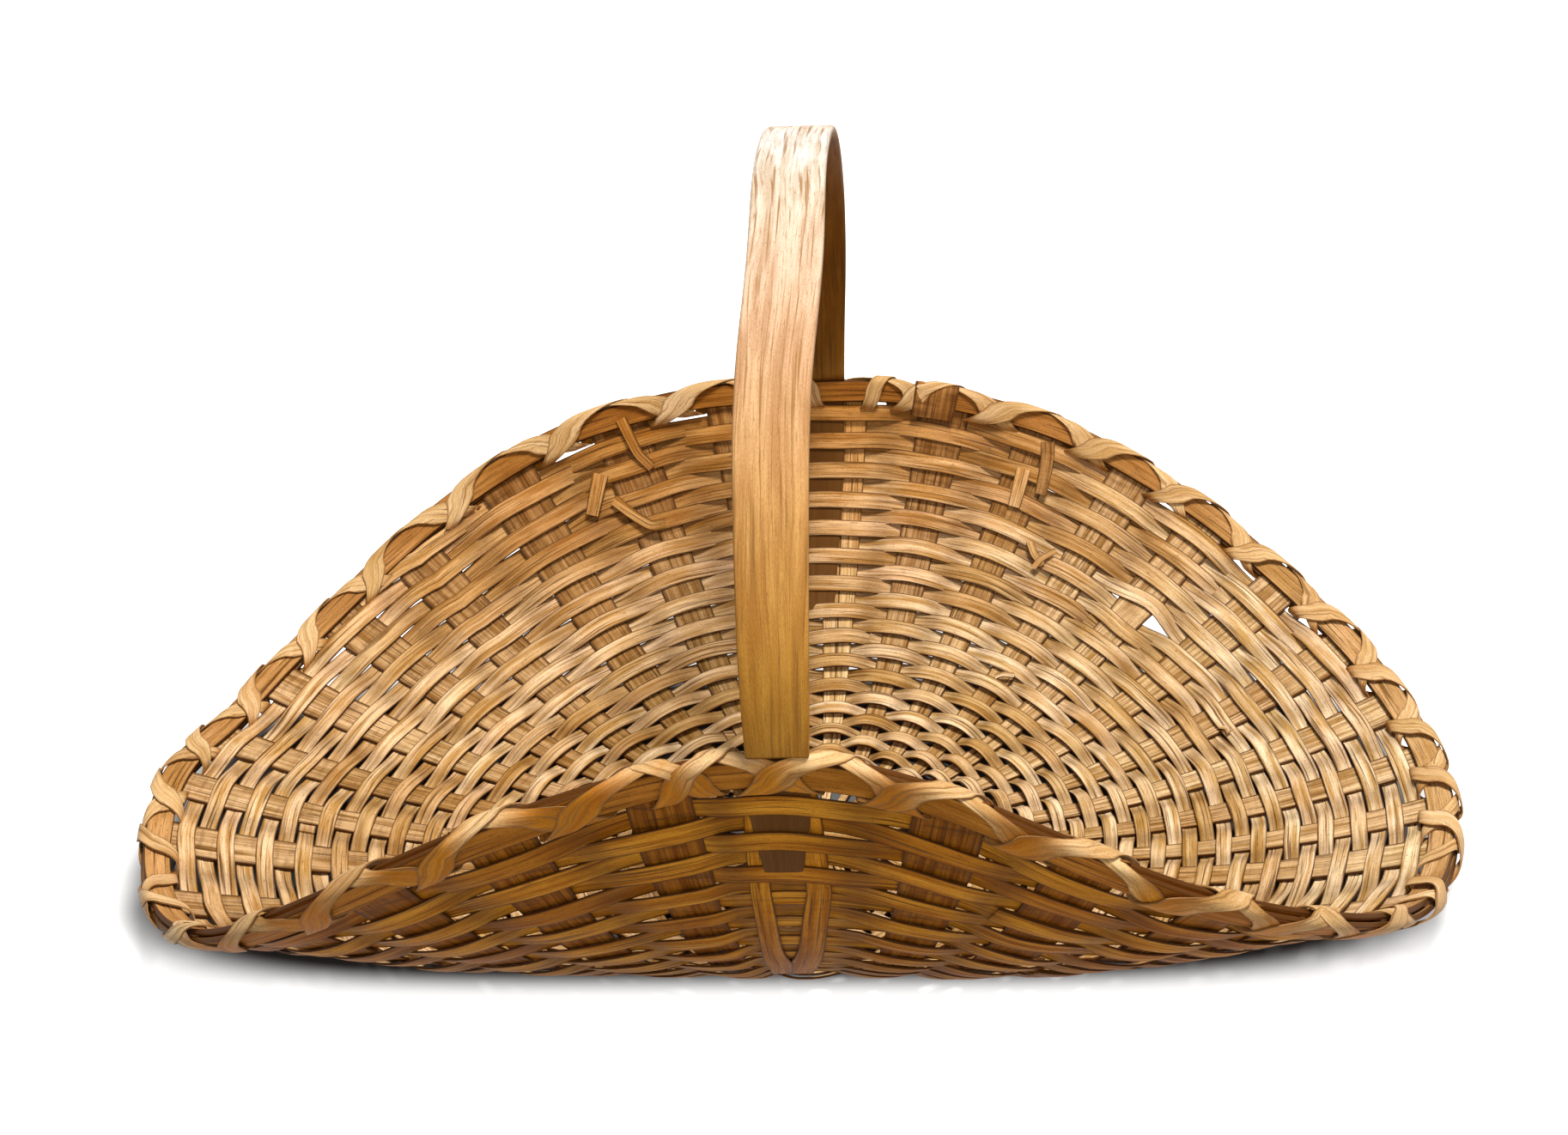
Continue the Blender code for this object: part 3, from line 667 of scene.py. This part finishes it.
def weaver_points(first, last, lapped):
    """Rows and columns of a length of weaver between two crossings, with its tone and painted shade.

    A lapped length starts outside the end of the length before. All run on past their own last
    crossing. between is 0 over a spoke and 1 halfway to the next.
    """
    flat, height, width, tone, tilt, dive_shade = [], [], [], [], [], []
    for station in range(first * STEPS_PER_SPOKE - LAP * lapped, last * STEPS_PER_SPOKE + LAP + 1):
        count, t = station // STEPS_PER_SPOKE, station % STEPS_PER_SPOKE / STEPS_PER_SPOKE
        start, stop = crossing_angle(count), crossing_angle(count + 1)
        (h0, flat0), (h1, flat1) = crossing(count), crossing(count + 1)
        place = count + t
        angle = start + (stop - start) * t
        k = row_share(place)
        rim = float(rim_radius(angle))
        r = k * rim + pushed(angle, k * rim) * min(k * 2, 1) + BUNCHING * sunk(place) ** BUNCHING_POWER
        run = (stop - start) * k * rim
        ease = min(max((t * run - flat0) / (run - flat0 - flat1), 0), 1)
        ease = (1 - cos(pi * ease)) / 2
        lap = min(max((first + LAP_END - place) / LAP_EASE, 0), 1) if lapped else 0
        between = sin(pi * t) ** 2
        flat.append((r * cos(angle), r * sin(angle)))
        height.append(h0 + (h1 - h0) * ease - (WEAVER_THICKNESS + FINE_GAP) * lap)
        width.append(weaver_width(place, angle, r, between))
        tone.append(weaver_tone(place, angle, r))
        tilt.append(TILT_CHANGE * chance(place * 0.7, 5.5, 0))
        # Painted shade between the spokes and on the sunk rows behind the fork.
        dive_shade.append(max(DIVE_SHADE * between ** DIVE_SHADE_POWER, FORK_SHADE * sunk(place)))
    flat, height, width = np.array(flat), np.array(height), np.array(width)
    shifts = width[:, None] / 2 * ACROSS
    crown = CROWN * np.clip(height / SEAT, -1, 1)[:, None] * (1 - ACROSS ** 2)
    heights = height[:, None] + crown + np.array(tilt)[:, None] * shifts
    return lay(flat, shifts, heights), np.clip(np.array(tone), 0, 1), np.array(dive_shade)


for n in range(WEAVER_LENGTHS):
    points, tone, dive_shade = weaver_points(length_ends[n], length_ends[n + 1], lapped=n > 0)
    name = "weaver_%02d" % (n + 1)
    piece = strip(name + "_oak", points, WEAVER_THICKNESS, tone, start=n * 2.3, dive_shade=dive_shade)
    dress(piece, weaver_oak, "weaver_oak", name)


# Rim hoops
# Two flat hoops, bent from thicker rived oak, hold the tops of the spokes between them.
# Each stands off the wall a little where the tail of the handle passes.
HOOP_THICKNESS, HOOP_HALF_HEIGHT = 0.0026, 0.0058
HOOP_STATIONS = 360
HOOP_COLUMNS = np.array([-1, -0.6, 0, 0.6, 1])
HOOP_WAVER, WORN_EDGE = 0.0006, 0.0006
HOOP_TONE, INNER_DARKER, HOOP_TONE_CHANGE = 0.5, 0.4, 0.7
BULGE_DISTANCE, BULGE_HALF, BULGE_POWER = 0.3, 0.026, 4
hoop_oak = oak("hoop_oak", (0.74, 0.47, 0.22, 1), (0.48, 0.27, 0.09, 1), GRAIN_AND_SHADE_DARK,
               (0.84, 0.56, 0.17, 1), roughness=0.6)


def leg_bulge(angle, leg):
    """How far a hoop stands off the wall to let the tail of the handle pass."""
    turn = turn_from(-pi / 2 if leg == NEAR else pi / 2, angle)
    return TAIL_STACK * np.exp(-(turn * BULGE_DISTANCE / BULGE_HALF) ** BULGE_POWER)


def hoop_offset(angle, inside):
    """Distance from the sheet to the nearer face of a hoop, below 0 outside the basket."""
    seat = SPOKE_THICKNESS / 2 + FINE_GAP + leg_bulge(angle, FAR if inside else NEAR)
    return seat * (1 if inside else -1)


def rim_spots(angle, up, out):
    """Points by the rim: up the wall from the middle of the rim, and out from the sheet."""
    r = rim_radius(angle) + up
    return on_sheet(r * np.cos(angle), r * np.sin(angle), out)


for inside in (True, False):
    sign = 1 if inside else -1
    angle = np.linspace(0, tau, HOOP_STATIONS + 1)
    grid_angle, grid_up = np.meshgrid(angle, HOOP_COLUMNS * HOOP_HALF_HEIGHT, indexing="ij")
    wobble = wander(np.cos(angle) * 4 + np.sin(angle) * 7, HOOP_WAVER, 11 + inside)
    out = hoop_offset(grid_angle, inside) + sign * HOOP_THICKNESS / 2
    points = rim_spots(grid_angle, grid_up + wobble[:, None], out)
    name = "rim_hoop_inner" if inside else "rim_hoop_outer"
    change = wander(np.cos(angle) * 5 + np.sin(angle) * 9, HOOP_TONE_CHANGE, 21 + inside)
    tone = np.clip(HOOP_TONE + INNER_DARKER * inside + change, 0, 1)
    tone[-1] = tone[0]
    piece = strip(name + "_oak", points, HOOP_THICKNESS, tone, start=5 * inside)
    bevel = piece.modifiers.new("worn edges", "BEVEL")
    bevel.width = WORN_EDGE
    bevel.segments = 2
    bevel.limit_method = "ANGLE"
    apply(piece, bevel)
    dress(piece, hoop_oak, "rim_oak", name)


# Lashing
# Two long, limp binders are wound round both hoops in opposite directions, one turn for
# each spoke, so that they cross on top over the spoke and underneath between two spokes.
LASHING_WIDTH, LASHING_WIDTH_CHANGE = 0.0080, 0.16
LASHING_GIRTH, FOOT_DROP = 0.0420, 0.0020
LASHING_THICKNESS = 0.0006
LASHING_STEPS = 32
LEG_SIDE, LEG_FOOT = 0.0225, 0.0140
FOOT_SPREAD, SPREAD_CHANGE, STEEPNESS = 0.0100, 0.6, 1.5
NEAR_SIDE = -0.25
CORNER_POWER = 0.62
LEAST_SLACK, MORE_SLACK, FOOT_SLACK, TOP_SLACK = 0.0006, 0.0024, 0.3, 0.7
LASHING_TONE, LASHING_TONE_CHANGE = 0.4, 0.8
# The binders are darker on their outer face, partly aged and partly painted shade. Painted shade
# darkens them below and leaves their tops paler, and they are darker in front on the left.
LEFT_FROM, FRONT_LEFT_DARKENING, ELSEWHERE_DARKENING = -0.12, 0.7, 0.15
DARKENING_LESS, OUTER_AGE_AND_SHADE, LOW_SHADE = 0.1, 0.9, 0.7
lashing_oak = oak("lashing_oak", (0.90, 0.66, 0.37, 1), (0.66, 0.41, 0.165, 1),
                  (0.26, 0.125, 0.040, 1), AGE_AND_SHADE_COLOUR, roughness=0.5)


def wrap_spot(angle, turn, lift):
    """A point on the wrap round the rim: turn is 0 on the inner face, and pi/2 on top."""
    half_up = HOOP_HALF_HEIGHT + GAP + lift + np.where(np.sin(turn) < 0, FOOT_DROP, 0)
    inner = hoop_offset(angle, True) + HOOP_THICKNESS + GAP + lift
    outer = -hoop_offset(angle, False) + HOOP_THICKNESS + GAP + lift
    c, s = np.cos(turn), np.sin(turn)
    round_c = np.sign(c) * np.abs(c) ** CORNER_POWER
    round_s = np.sign(s) * np.abs(s) ** CORNER_POWER
    return rim_spots(angle, round_s * half_up, round_c * np.where(c > 0, inner, outer))


def lashing_stops(hand):
    """Directions where a binder crosses the top, and the feet before, between and after them."""
    tops, leg_feet = [], {}
    for n in range(SPOKES):
        here = crossing_angle(n)
        if (JOIN + n) % SPOKES in (NEAR, FAR):
            side, foot = LEG_SIDE / float(rim_radius(here)), LEG_FOOT / float(rim_radius(here))
            tops += [here - side, here + side]
            leg_feet[len(tops) - 1] = here + hand * foot
        else:
            tops.append(here)
    last = (tops[-1] + tops[0] + tau) / 2
    feet = [last - tau] + [(a + b) / 2 for a, b in zip(tops, tops[1:])] + [last]
    for n, foot in enumerate(feet):
        out = 1 if sin(foot) < NEAR_SIDE else -1
        spread_out = FOOT_SPREAD * (1 + SPREAD_CHANGE * chance(n * 4.1, 0.7, 9))
        feet[n] = leg_feet.get(n, foot + out * hand * spread_out / float(rim_radius(foot)))
    feet[-1] = feet[0] + tau
    return tops, feet


# Painted shade darkens the underside and, with age, the outer face.
def lashing_age_and_shade(place, turn):
    dark_side = FRONT_LEFT_DARKENING * max(-sin(place), 0) if cos(place) < LEFT_FROM else ELSEWHERE_DARKENING
    return min(max(dark_side - DARKENING_LESS - OUTER_AGE_AND_SHADE * cos(turn) - LOW_SHADE * sin(turn), 0), 1)


def lashing_points(hand, base):
    """Rows and columns of one binder: it goes once round the rim from each foot to the next."""
    centre, turns, lifts, widths, tone, age_and_shade = [], [], [], [], [], []
    tops, feet = lashing_stops(hand)
    for n, top in enumerate(tops):
        slack = LEAST_SLACK + MORE_SLACK * abs(chance(n * 2.9, hand * 3.3, base * 900))
        for m in range(LASHING_STEPS):
            t = m / LASHING_STEPS
            foot = feet[n] if t < 0.5 else feet[n + 1]
            place = foot + (top - foot) * (1 - abs(1 - t * 2)) ** STEEPNESS
            turn = -pi / 2 + hand * tau * t
            centre.append(place)
            turns.append(turn + hand * tau * n)
            lifts.append(base + slack * (FOOT_SLACK + TOP_SLACK * max(sin(turn), 0)))
            widths.append(LASHING_WIDTH * (1 + LASHING_WIDTH_CHANGE * chance(n * 1.3 + t, hand * 2.0, 3)))
            tone.append(LASHING_TONE + LASHING_TONE_CHANGE * chance(n * 0.8 + t * 0.8, hand * 5.0, 6))
            age_and_shade.append(lashing_age_and_shade(place, turn))
    turns, lifts = np.array(turns), np.array(lifts)
    centre = smoothed(np.array(centre), np.hanning(11), mode="reflect", reflect_type="odd")
    radius = rim_radius(centre)
    around = LASHING_GIRTH / tau
    run = np.gradient(centre) * radius
    climb = np.gradient(turns) * around
    length = np.hypot(run, climb)
    shifts = np.array(widths)[:, None] / 2 * ACROSS
    angle = centre[:, None] - shifts * (climb / length)[:, None] / radius[:, None]
    turn = turns[:, None] + shifts * (run / length)[:, None] / around
    return wrap_spot(angle, turn, lifts[:, None]), np.clip(np.array(tone), 0, 1), np.array(age_and_shade)


for name, hand, base in (("lashing_first", 1, 0.0004), ("lashing_second", -1, 0.0014)):
    points, tone, age_and_shade = lashing_points(hand, base)
    piece = strip(name + "_oak", points, LASHING_THICKNESS, tone, start=40 + hand, old_and_shaded=age_and_shade)
    dress(piece, lashing_oak, "lashing_oak", name)


# Handle
# One flat hoop of rived oak, left thick for the hand. Below the rim it is shaved to thin
# tails that pass between the two rim hoops and are woven into the walls.
HANDLE_TOP, HANDLE_THICKNESS = 0.3594, 0.0050
HANDLE_TOP_HALF, HANDLE_RIM_HALF, HALF_POWER = 0.0153, 0.0120, 0.7
HANDLE_POWER = 2.03
SHOULDER, SHOULDER_SHARES = 0.006, (0.12, 0.35, 0.62, 0.85, 1.0)
TAIL_END_HALF, TAIL_THICKNESS, TAIL_WIDENS = 0.0075, 0.0010, 1.6
FAR_LEAN, FAR_ASIDE, FAR_BELLY = 0.0028, 0.0020, 2.1
TOP_ASIDE, TOP_ASIDE_POWER = 0.0020, 6
NEAR_ASIDE, ASIDE_PLACE, ASIDE_SPAN = 0.0033, 0.90, 0.14
TAIL_STATIONS, ARCH_STATIONS, EDGE_STEPS = 24, 90, 3
EDGE_EASE, MOST_EASE = 0.0013, 0.8
HANDLE_WAVER, WAVERS_A_STATION = 0.0005, 0.11
# The power shapes the painted shade down the legs.
HANDLE_TONE, LEG_SHADE_POWER = 0.15, 0.9
# How much painted shade darkens the tails, which are also darkened like the spokes, and the inside face
# of the hoop.
TAIL_DARK_AND_SHADE, INSIDE_SHADE, TAIL_EDGE = 0.9, 0.63, 3

# The near-white pale colour is a painted highlight on the top; the fourth colour is the painted shade of
# the legs.
handle_oak = oak("handle_oak", (0.88, 0.90, 0.90, 1), (0.64, 0.58, 0.50, 1), (0.26, 0.12, 0.030, 1),
                 (0.74, 0.365, 0.053, 1), roughness=0.60, fibre=0.7, wave=0.0012)


def leg_stations(angle, tail, outward):
    """Middle, half-width and half-thickness down one tail and up its shoulder."""
    rim = float(rim_radius(angle))
    sign = -1 if outward else 1
    stations = []
    for r in np.linspace(rim - tail, rim + HOOP_HALF_HEIGHT, TAIL_STATIONS):
        share = (r - rim + tail) / tail
        half = TAIL_END_HALF + (TAIL_HALF - TAIL_END_HALF) * min(share * TAIL_WIDENS, 1)
        seat = SPOKE_THICKNESS / 2 + TAIL_THICKNESS / 2 + FINE_GAP
        stations.append((r, sign * seat, half, TAIL_THICKNESS / 2))
    for share in SHOULDER_SHARES:
        swell = sin(share * pi / 2)
        thick = TAIL_THICKNESS + (HANDLE_THICKNESS - TAIL_THICKNESS) * swell
        half = TAIL_HALF + (HANDLE_RIM_HALF - TAIL_HALF) * swell
        r = rim + HOOP_HALF_HEIGHT + GAP + SHOULDER * (1 - cos(share * pi / 2))
        stations.append((r, sign * (SPOKE_THICKNESS / 2 + FINE_GAP + thick / 2), half, thick / 2))
    middles = []
    for r, out, half, thick in stations:
        drift = 0.0 if outward else -FAR_ASIDE - FAR_LEAN * min(max(rim - r, 0) / tail, 1)
        spot = on_sheet(np.array(drift), np.array(r * sin(angle)), np.array(out))
        middles.append((spot, half, thick))
    return middles


near_leg = leg_stations(-pi / 2, NEAR_TAIL, True)
far_leg = leg_stations(pi / 2, FAR_TAIL, False)
first, last = near_leg[-1][0], far_leg[-1][0]
middle, span = (first + last) / 2, (last - first) / 2
arch = []
for turn in np.linspace(0, pi, ARCH_STATIONS)[1:-1]:
    c, s = -cos(turn), sin(turn)
    reach = (abs(c) ** HANDLE_POWER + abs(s) ** HANDLE_POWER) ** (-1 / HANDLE_POWER)
    spot = middle + span * c * reach
    spot = spot + np.array([0, 0, (HANDLE_TOP - HANDLE_THICKNESS / 2 - middle[2]) * s * reach])
    high = s * reach
    aside = NEAR_ASIDE * exp(-((min(high, 1) - ASIDE_PLACE) / ASIDE_SPAN) ** 2)
    if c > 0:
        aside = TOP_ASIDE * high ** TOP_ASIDE_POWER
        aside += FAR_ASIDE * FAR_BELLY * high * sin(pi * min(high, 1))
    spot = spot + np.array([aside, 0, 0])
    half = HANDLE_RIM_HALF + (HANDLE_TOP_HALF - HANDLE_RIM_HALF) * s ** HALF_POWER
    arch.append((spot, half, HANDLE_THICKNESS / 2))
route = near_leg + arch + far_leg[::-1]
middles, half_width, half_thick = (np.array(side) for side in zip(*route))
along = np.gradient(middles, axis=0)
along /= np.linalg.norm(along, axis=1, keepdims=True)
outwards = np.stack([np.zeros(len(route)), -along[:, 2], along[:, 1]], -1)

# Round the flat hoop: broad faces, and edges eased with a drawknife.
profile = []
for quarter, (sx, sy) in enumerate(((1, 1), (-1, 1), (-1, -1), (1, -1))):
    for step in range(EDGE_STEPS + 1):
        turn = pi / 2 * (quarter + step / EDGE_STEPS)
        profile.append((sx, sy, cos(turn), sin(turn)))
profile.append(profile[0])
wobbles = wander(np.arange(len(route)) * WAVERS_A_STATION, HANDLE_WAVER, 31)
rings = []
for spot, out, half, thick, wobble in zip(middles, outwards, half_width, half_thick, wobbles):
    ease = min(EDGE_EASE, thick * MOST_EASE)
    ring = []
    for sx, sy, rx, ry in profile:
        x = sx * (half - ease) + rx * ease + wobble
        z = sy * (thick - ease) + ry * ease
        ring.append(spot + np.array([x, 0, 0]) + out * z)
    rings.append(ring)
points = np.array(rings)
handle, row, column = grid("handle_hoop_oak", points)
girth = along_lengths(points[len(route) // 2])
map_grain(handle.data, along_lengths(middles)[row], girth[column])

# The top is left pale as a painted highlight, and painted shade darkens the legs towards their
# feet and, most of all, the inside face of the hoop; the tails are darker, partly as painted shade.
leg = np.clip(np.abs(middles[:, 1] - middle[1]) / span[1], 0, 1)[row] ** LEG_SHADE_POWER
inside_face = ((points[row, column] - middles[row]) * outwards[row]).sum(1) < 0
leg_and_inside_shade = np.where(inside_face, 1, leg)
in_tail = (row < len(near_leg) - TAIL_EDGE) | (row >= len(route) - len(far_leg) + TAIL_EDGE)
hidden_shade = np.maximum(np.where(in_tail, TAIL_DARK_AND_SHADE, 0), np.where(inside_face, INSIDE_SHADE, 0))
paint(handle.data, np.full(len(row), HANDLE_TONE), np.zeros(len(row)), leg_and_inside_shade, hidden_shade)

# The seam along the tube is closed, and its two ends are filled.
bpy.ops.object.mode_set(mode="EDIT")
bpy.ops.mesh.select_all(action="SELECT")
bpy.ops.mesh.remove_doubles(threshold=0.00001)
bpy.ops.mesh.select_all(action="DESELECT")
bpy.ops.mesh.select_non_manifold()
bpy.ops.mesh.edge_face_add()
bpy.ops.object.mode_set(mode="OBJECT")
close(handle, angle=40)
dress(handle, handle_oak, "handle_oak", "handle_hoop")


# Broken and loose ends
# Age has left a few frayed lengths of weaver hanging inside, two short splints pushed in
# beside the spokes, and the end of one spoke folded over the inner hoop.
SCRAP_STEPS, SCRAP_TAPER, LOOSE_CURL = 6, 0.8, 0.0006


def scrap(name, way, width, thickness, material, slot, tone, curl=0.0):
    """A short strip through (direction, distance, height) places on the sheet."""
    way = np.array(way)
    stations = np.linspace(0, len(way) - 1, SCRAP_STEPS * len(way))
    sides = (np.interp(stations, range(len(way)), way[:, n]) for n in range(3))
    direction, r, height = (smoothed(side, np.ones(5), mode="edge") for side in sides)
    flat = np.stack([r * np.cos(np.radians(direction)), r * np.sin(np.radians(direction))], -1)
    shifts = np.linspace(1, SCRAP_TAPER, len(r))[:, None] * width / 2 * ACROSS
    curled = curl * np.linspace(0, 1, len(r))[:, None] * ACROSS
    points = lay(flat, shifts, height[:, None] + curled)
    piece = strip(name, points, thickness, np.full(len(r), tone), start=60 + direction[0])
    dress(piece, material, slot)


LOOSE = [("loose_end_1", 0.0066, 0.75, [(111.6, 0.3140, 0.0034), (111.4, 0.3028, 0.0040),
                                        (111.2, 0.2921, 0.0046), (110.2, 0.2823, 0.0030)]),
         ("loose_end_2", 0.0092, 0.6, [(116.0, 0.2900, 0.0028), (116.6, 0.2860, 0.0038),
                                       (118.0, 0.2770, 0.0040), (119.1, 0.2710, 0.0028)]),
         ("loose_end_3", 0.0064, 0.7, [(116.0, 0.2750, 0.0024), (114.5, 0.2620, 0.0044),
                                       (113.0, 0.2520, 0.0058), (111.0, 0.2500, 0.0080)]),
         ("loose_end_4", 0.0045, 0.9, [(63.8, 0.2500, 0.0030), (62.6, 0.2440, 0.0040),
                                       (60.8, 0.2400, 0.0030)]),
         ("loose_end_5", 0.0035, 0.7, [(61.8, 0.2360, 0.0030), (61.4, 0.2430, 0.0044),
                                       (60.2, 0.2520, 0.0034)]),
         ("loose_end_6", 0.0030, 0.2, [(57.5, 0.1660, 0.0028), (56.4, 0.1690, 0.0048),
                                       (54.4, 0.1720, 0.0044)]),
         ("loose_end_7", 0.0024, 0.5, [(21.6, 0.2190, 0.0030), (20.6, 0.2210, 0.0038),
                                       (19.6, 0.2205, 0.0034)])]
for name, width, tone, way in LOOSE:
    scrap(name, way, width, WEAVER_THICKNESS, weaver_oak, "weaver_oak", tone, LOOSE_CURL)

SHORT_WAY = [(68.0, 0.2900, 0.0012), (67.8, 0.2830, 0.0032), (67.5, 0.2720, 0.0034),
             (67.3, 0.2640, 0.0022)]
PUSHED_WAY = [(66.6, 0.3060, 0.0020), (66.0, 0.2980, 0.0034), (65.4, 0.2860, 0.0034),
              (65.0, 0.2760, 0.0022)]
scrap("short_splint", SHORT_WAY, 0.0084, SPOKE_THICKNESS, weaver_oak, "spoke_oak", 0.1)
scrap("pushed_splint", PUSHED_WAY, 0.0080, SPOKE_THICKNESS, spoke_oak, "spoke_oak", 0.85)

# The folded end goes over the inner hoop: places are up the wall and out from it.
FOLDED, FOLD_HALF, FOLD_TURN = FAR - 1, 0.0118, radians(1.2)
FOLD_STATIONS = 29
FOLD = [(0.0050, 0.0000), (0.0068, 0.0006), (0.0076, 0.0022), (0.0070, 0.0042), (0.0040, 0.0050),
        (-0.0020, 0.0052), (-0.0080, 0.0050), (-0.0118, 0.0042)]
stations = np.linspace(0, len(FOLD) - 1, FOLD_STATIONS)
ups, outs = (np.interp(stations, range(len(FOLD)), side)[:, None] for side in zip(*FOLD))
turns = ANGLES[FOLDED] + FOLD_TURN + FOLD_HALF * ACROSS / float(rim_radius(ANGLES[FOLDED]))
points = rim_spots(*np.broadcast_arrays(turns, ups, outs))
tone = np.linspace(0.1, 0.5, FOLD_STATIONS)
piece = strip("folded_spoke_end", points, SPLINT_THICKNESS, tone, start=80)
dress(piece, spoke_oak, "spoke_oak")


# Floor, light and camera
# A plain pale floor, painted dark grey under the basket as a painted shadow, a large soft
# lamp high on the right, and a weaker one in front. Floor and background are seen as white.
FLOOR_SIZE, FLOOR_ROUGHNESS = 12, 0.9
FLOOR_GREY, FLOOR_WHITE, FLOOR_GLOW = 0.30, 0.70, 0.90
SHADE_CENTRE, SHADE_HALF, SHADE_EDGE = (-0.01, 0.04), (0.335, 0.155), (0.80, 1.08)
SHADE_GREY = 0.11
WORLD_LIGHT, WORLD_TINT = 0.07, (1, 0.98, 0.95, 1)
WHITE = (1, 1, 1, 1)


def grey(value):
    return (value, value, value, 1)


def seen_directly(tree):
    """1 where the camera, a reflection or a clear piece looks straight at the background."""
    rays = tree.nodes.new("ShaderNodeLightPath").outputs
    seen = maths(tree, "MAXIMUM", rays["Is Camera Ray"], rays["Is Glossy Ray"])
    return maths(tree, "MAXIMUM", seen, rays["Is Transmission Ray"])


bpy.ops.mesh.primitive_plane_add(size=FLOOR_SIZE, location=(0, 0, 0))
floor = bpy.context.object
floor.name = "floor"
floor_paint = bpy.data.materials.new("floor_white")
floor_paint.use_nodes = True
tree = floor_paint.node_tree
shader = tree.nodes["Principled BSDF"]
wire(tree, FLOOR_ROUGHNESS, shader.inputs["Roughness"])
wire(tree, 0.0, shader.inputs["Specular IOR Level"])
wire(tree, WHITE, shader.inputs["Emission Color"])
place = tree.nodes.new("ShaderNodeTexCoord")
stretch = tree.nodes.new("ShaderNodeMapping")
stretch.vector_type = "TEXTURE"
wire(tree, SHADE_CENTRE + (0,), stretch.inputs["Location"])
wire(tree, SHADE_HALF + (1,), stretch.inputs["Scale"])
wire(tree, place.outputs["Object"], stretch.inputs["Vector"])
# The squares of the two distances give the shade squarer corners than an ellipse has.
squares = tree.nodes.new("ShaderNodeVectorMath")
squares.operation = "MULTIPLY"
wire(tree, stretch.outputs[0], squares.inputs[0])
wire(tree, stretch.outputs[0], squares.inputs[1])
away = tree.nodes.new("ShaderNodeVectorMath")
away.operation = "LENGTH"
wire(tree, squares.outputs[0], away.inputs[0])
unshaded = spread(tree, away.outputs["Value"], *SHADE_EDGE, kind="SMOOTHSTEP")
direct = seen_directly(tree)
glow = maths(tree, "MULTIPLY", maths(tree, "MULTIPLY", unshaded, direct), FLOOR_GLOW)
wire(tree, glow, shader.inputs["Emission Strength"])
# The painted shadow: seen directly, the floor is dark grey under the basket and pale beyond.
seen_grey = blend(tree, unshaded, grey(SHADE_GREY), grey(FLOOR_WHITE))
wire(tree, blend(tree, direct, grey(FLOOR_GREY), seen_grey), shader.inputs["Base Color"])
floor.data.materials.append(floor_paint)
floor.select_set(False)

world = bpy.data.worlds.new("studio")
bpy.context.scene.world = world
world.use_nodes = True
tree = world.node_tree
light = tree.nodes["Background"]
wire(tree, WORLD_LIGHT, light.inputs["Strength"])
wire(tree, WORLD_TINT, light.inputs["Color"])
white = tree.nodes.new("ShaderNodeBackground")
wire(tree, WHITE, white.inputs["Color"])
wire(tree, 1.0, white.inputs["Strength"])
seen = tree.nodes.new("ShaderNodeMixShader")
for socket, value in zip(seen.inputs[:3], (seen_directly(tree), light.outputs[0], white.outputs[0])):
    wire(tree, value, socket)
wire(tree, seen.outputs[0], tree.nodes["World Output"].inputs["Surface"])


def lamp(name, place, size, power, tint):
    """A round lamp that shines on the middle of the basket."""
    light = bpy.data.lights.new(name, "AREA")
    light.shape = "DISK"
    light.size = size
    light.energy = power
    light.color = tint
    made = bpy.data.objects.new(name, light)
    bpy.context.collection.objects.link(made)
    made.location = place
    beam = Vector(LAMP_TARGET) - Vector(place)
    made.rotation_euler = beam.to_track_quat("-Z", "Y").to_euler()


LAMP_TARGET = (0, 0, 0.08)
lamp("key", place=(0.55, -0.3, 3.0), size=0.9, power=126, tint=(1, 0.98, 0.94))
lamp("fill", place=(0.25, -1.9, 1.1), size=1.2, power=15, tint=(1, 0.98, 0.95))

# The camera stands where a fit to the photograph put it: its place and its three axes.
FOCAL_PIXELS, IMAGE_WIDTH, SENSOR_WIDTH = 2928.24, 1826, 36
CAMERA_PLACE = (0.06193, -1.06450, 0.64500)
CAMERA_RIGHT, CAMERA_UP = (0.99791, 0.05016, -0.04069), (0.01594, 0.41926, 0.90773)
CAMERA_FORWARD = (-0.06259, 0.90648, -0.41759)
camera = bpy.data.objects.new("camera", bpy.data.cameras.new("camera"))
bpy.context.collection.objects.link(camera)
camera.data.sensor_width = SENSOR_WIDTH
camera.data.lens = FOCAL_PIXELS / IMAGE_WIDTH * SENSOR_WIDTH
camera.location = Vector(CAMERA_PLACE) + Vector(CENTRE)
turn = [[right, up, -forward] for right, up, forward in zip(CAMERA_RIGHT, CAMERA_UP, CAMERA_FORWARD)]
camera.rotation_euler = Matrix(turn).to_euler()
bpy.context.scene.camera = camera
bpy.context.scene.view_settings.view_transform = "Standard"
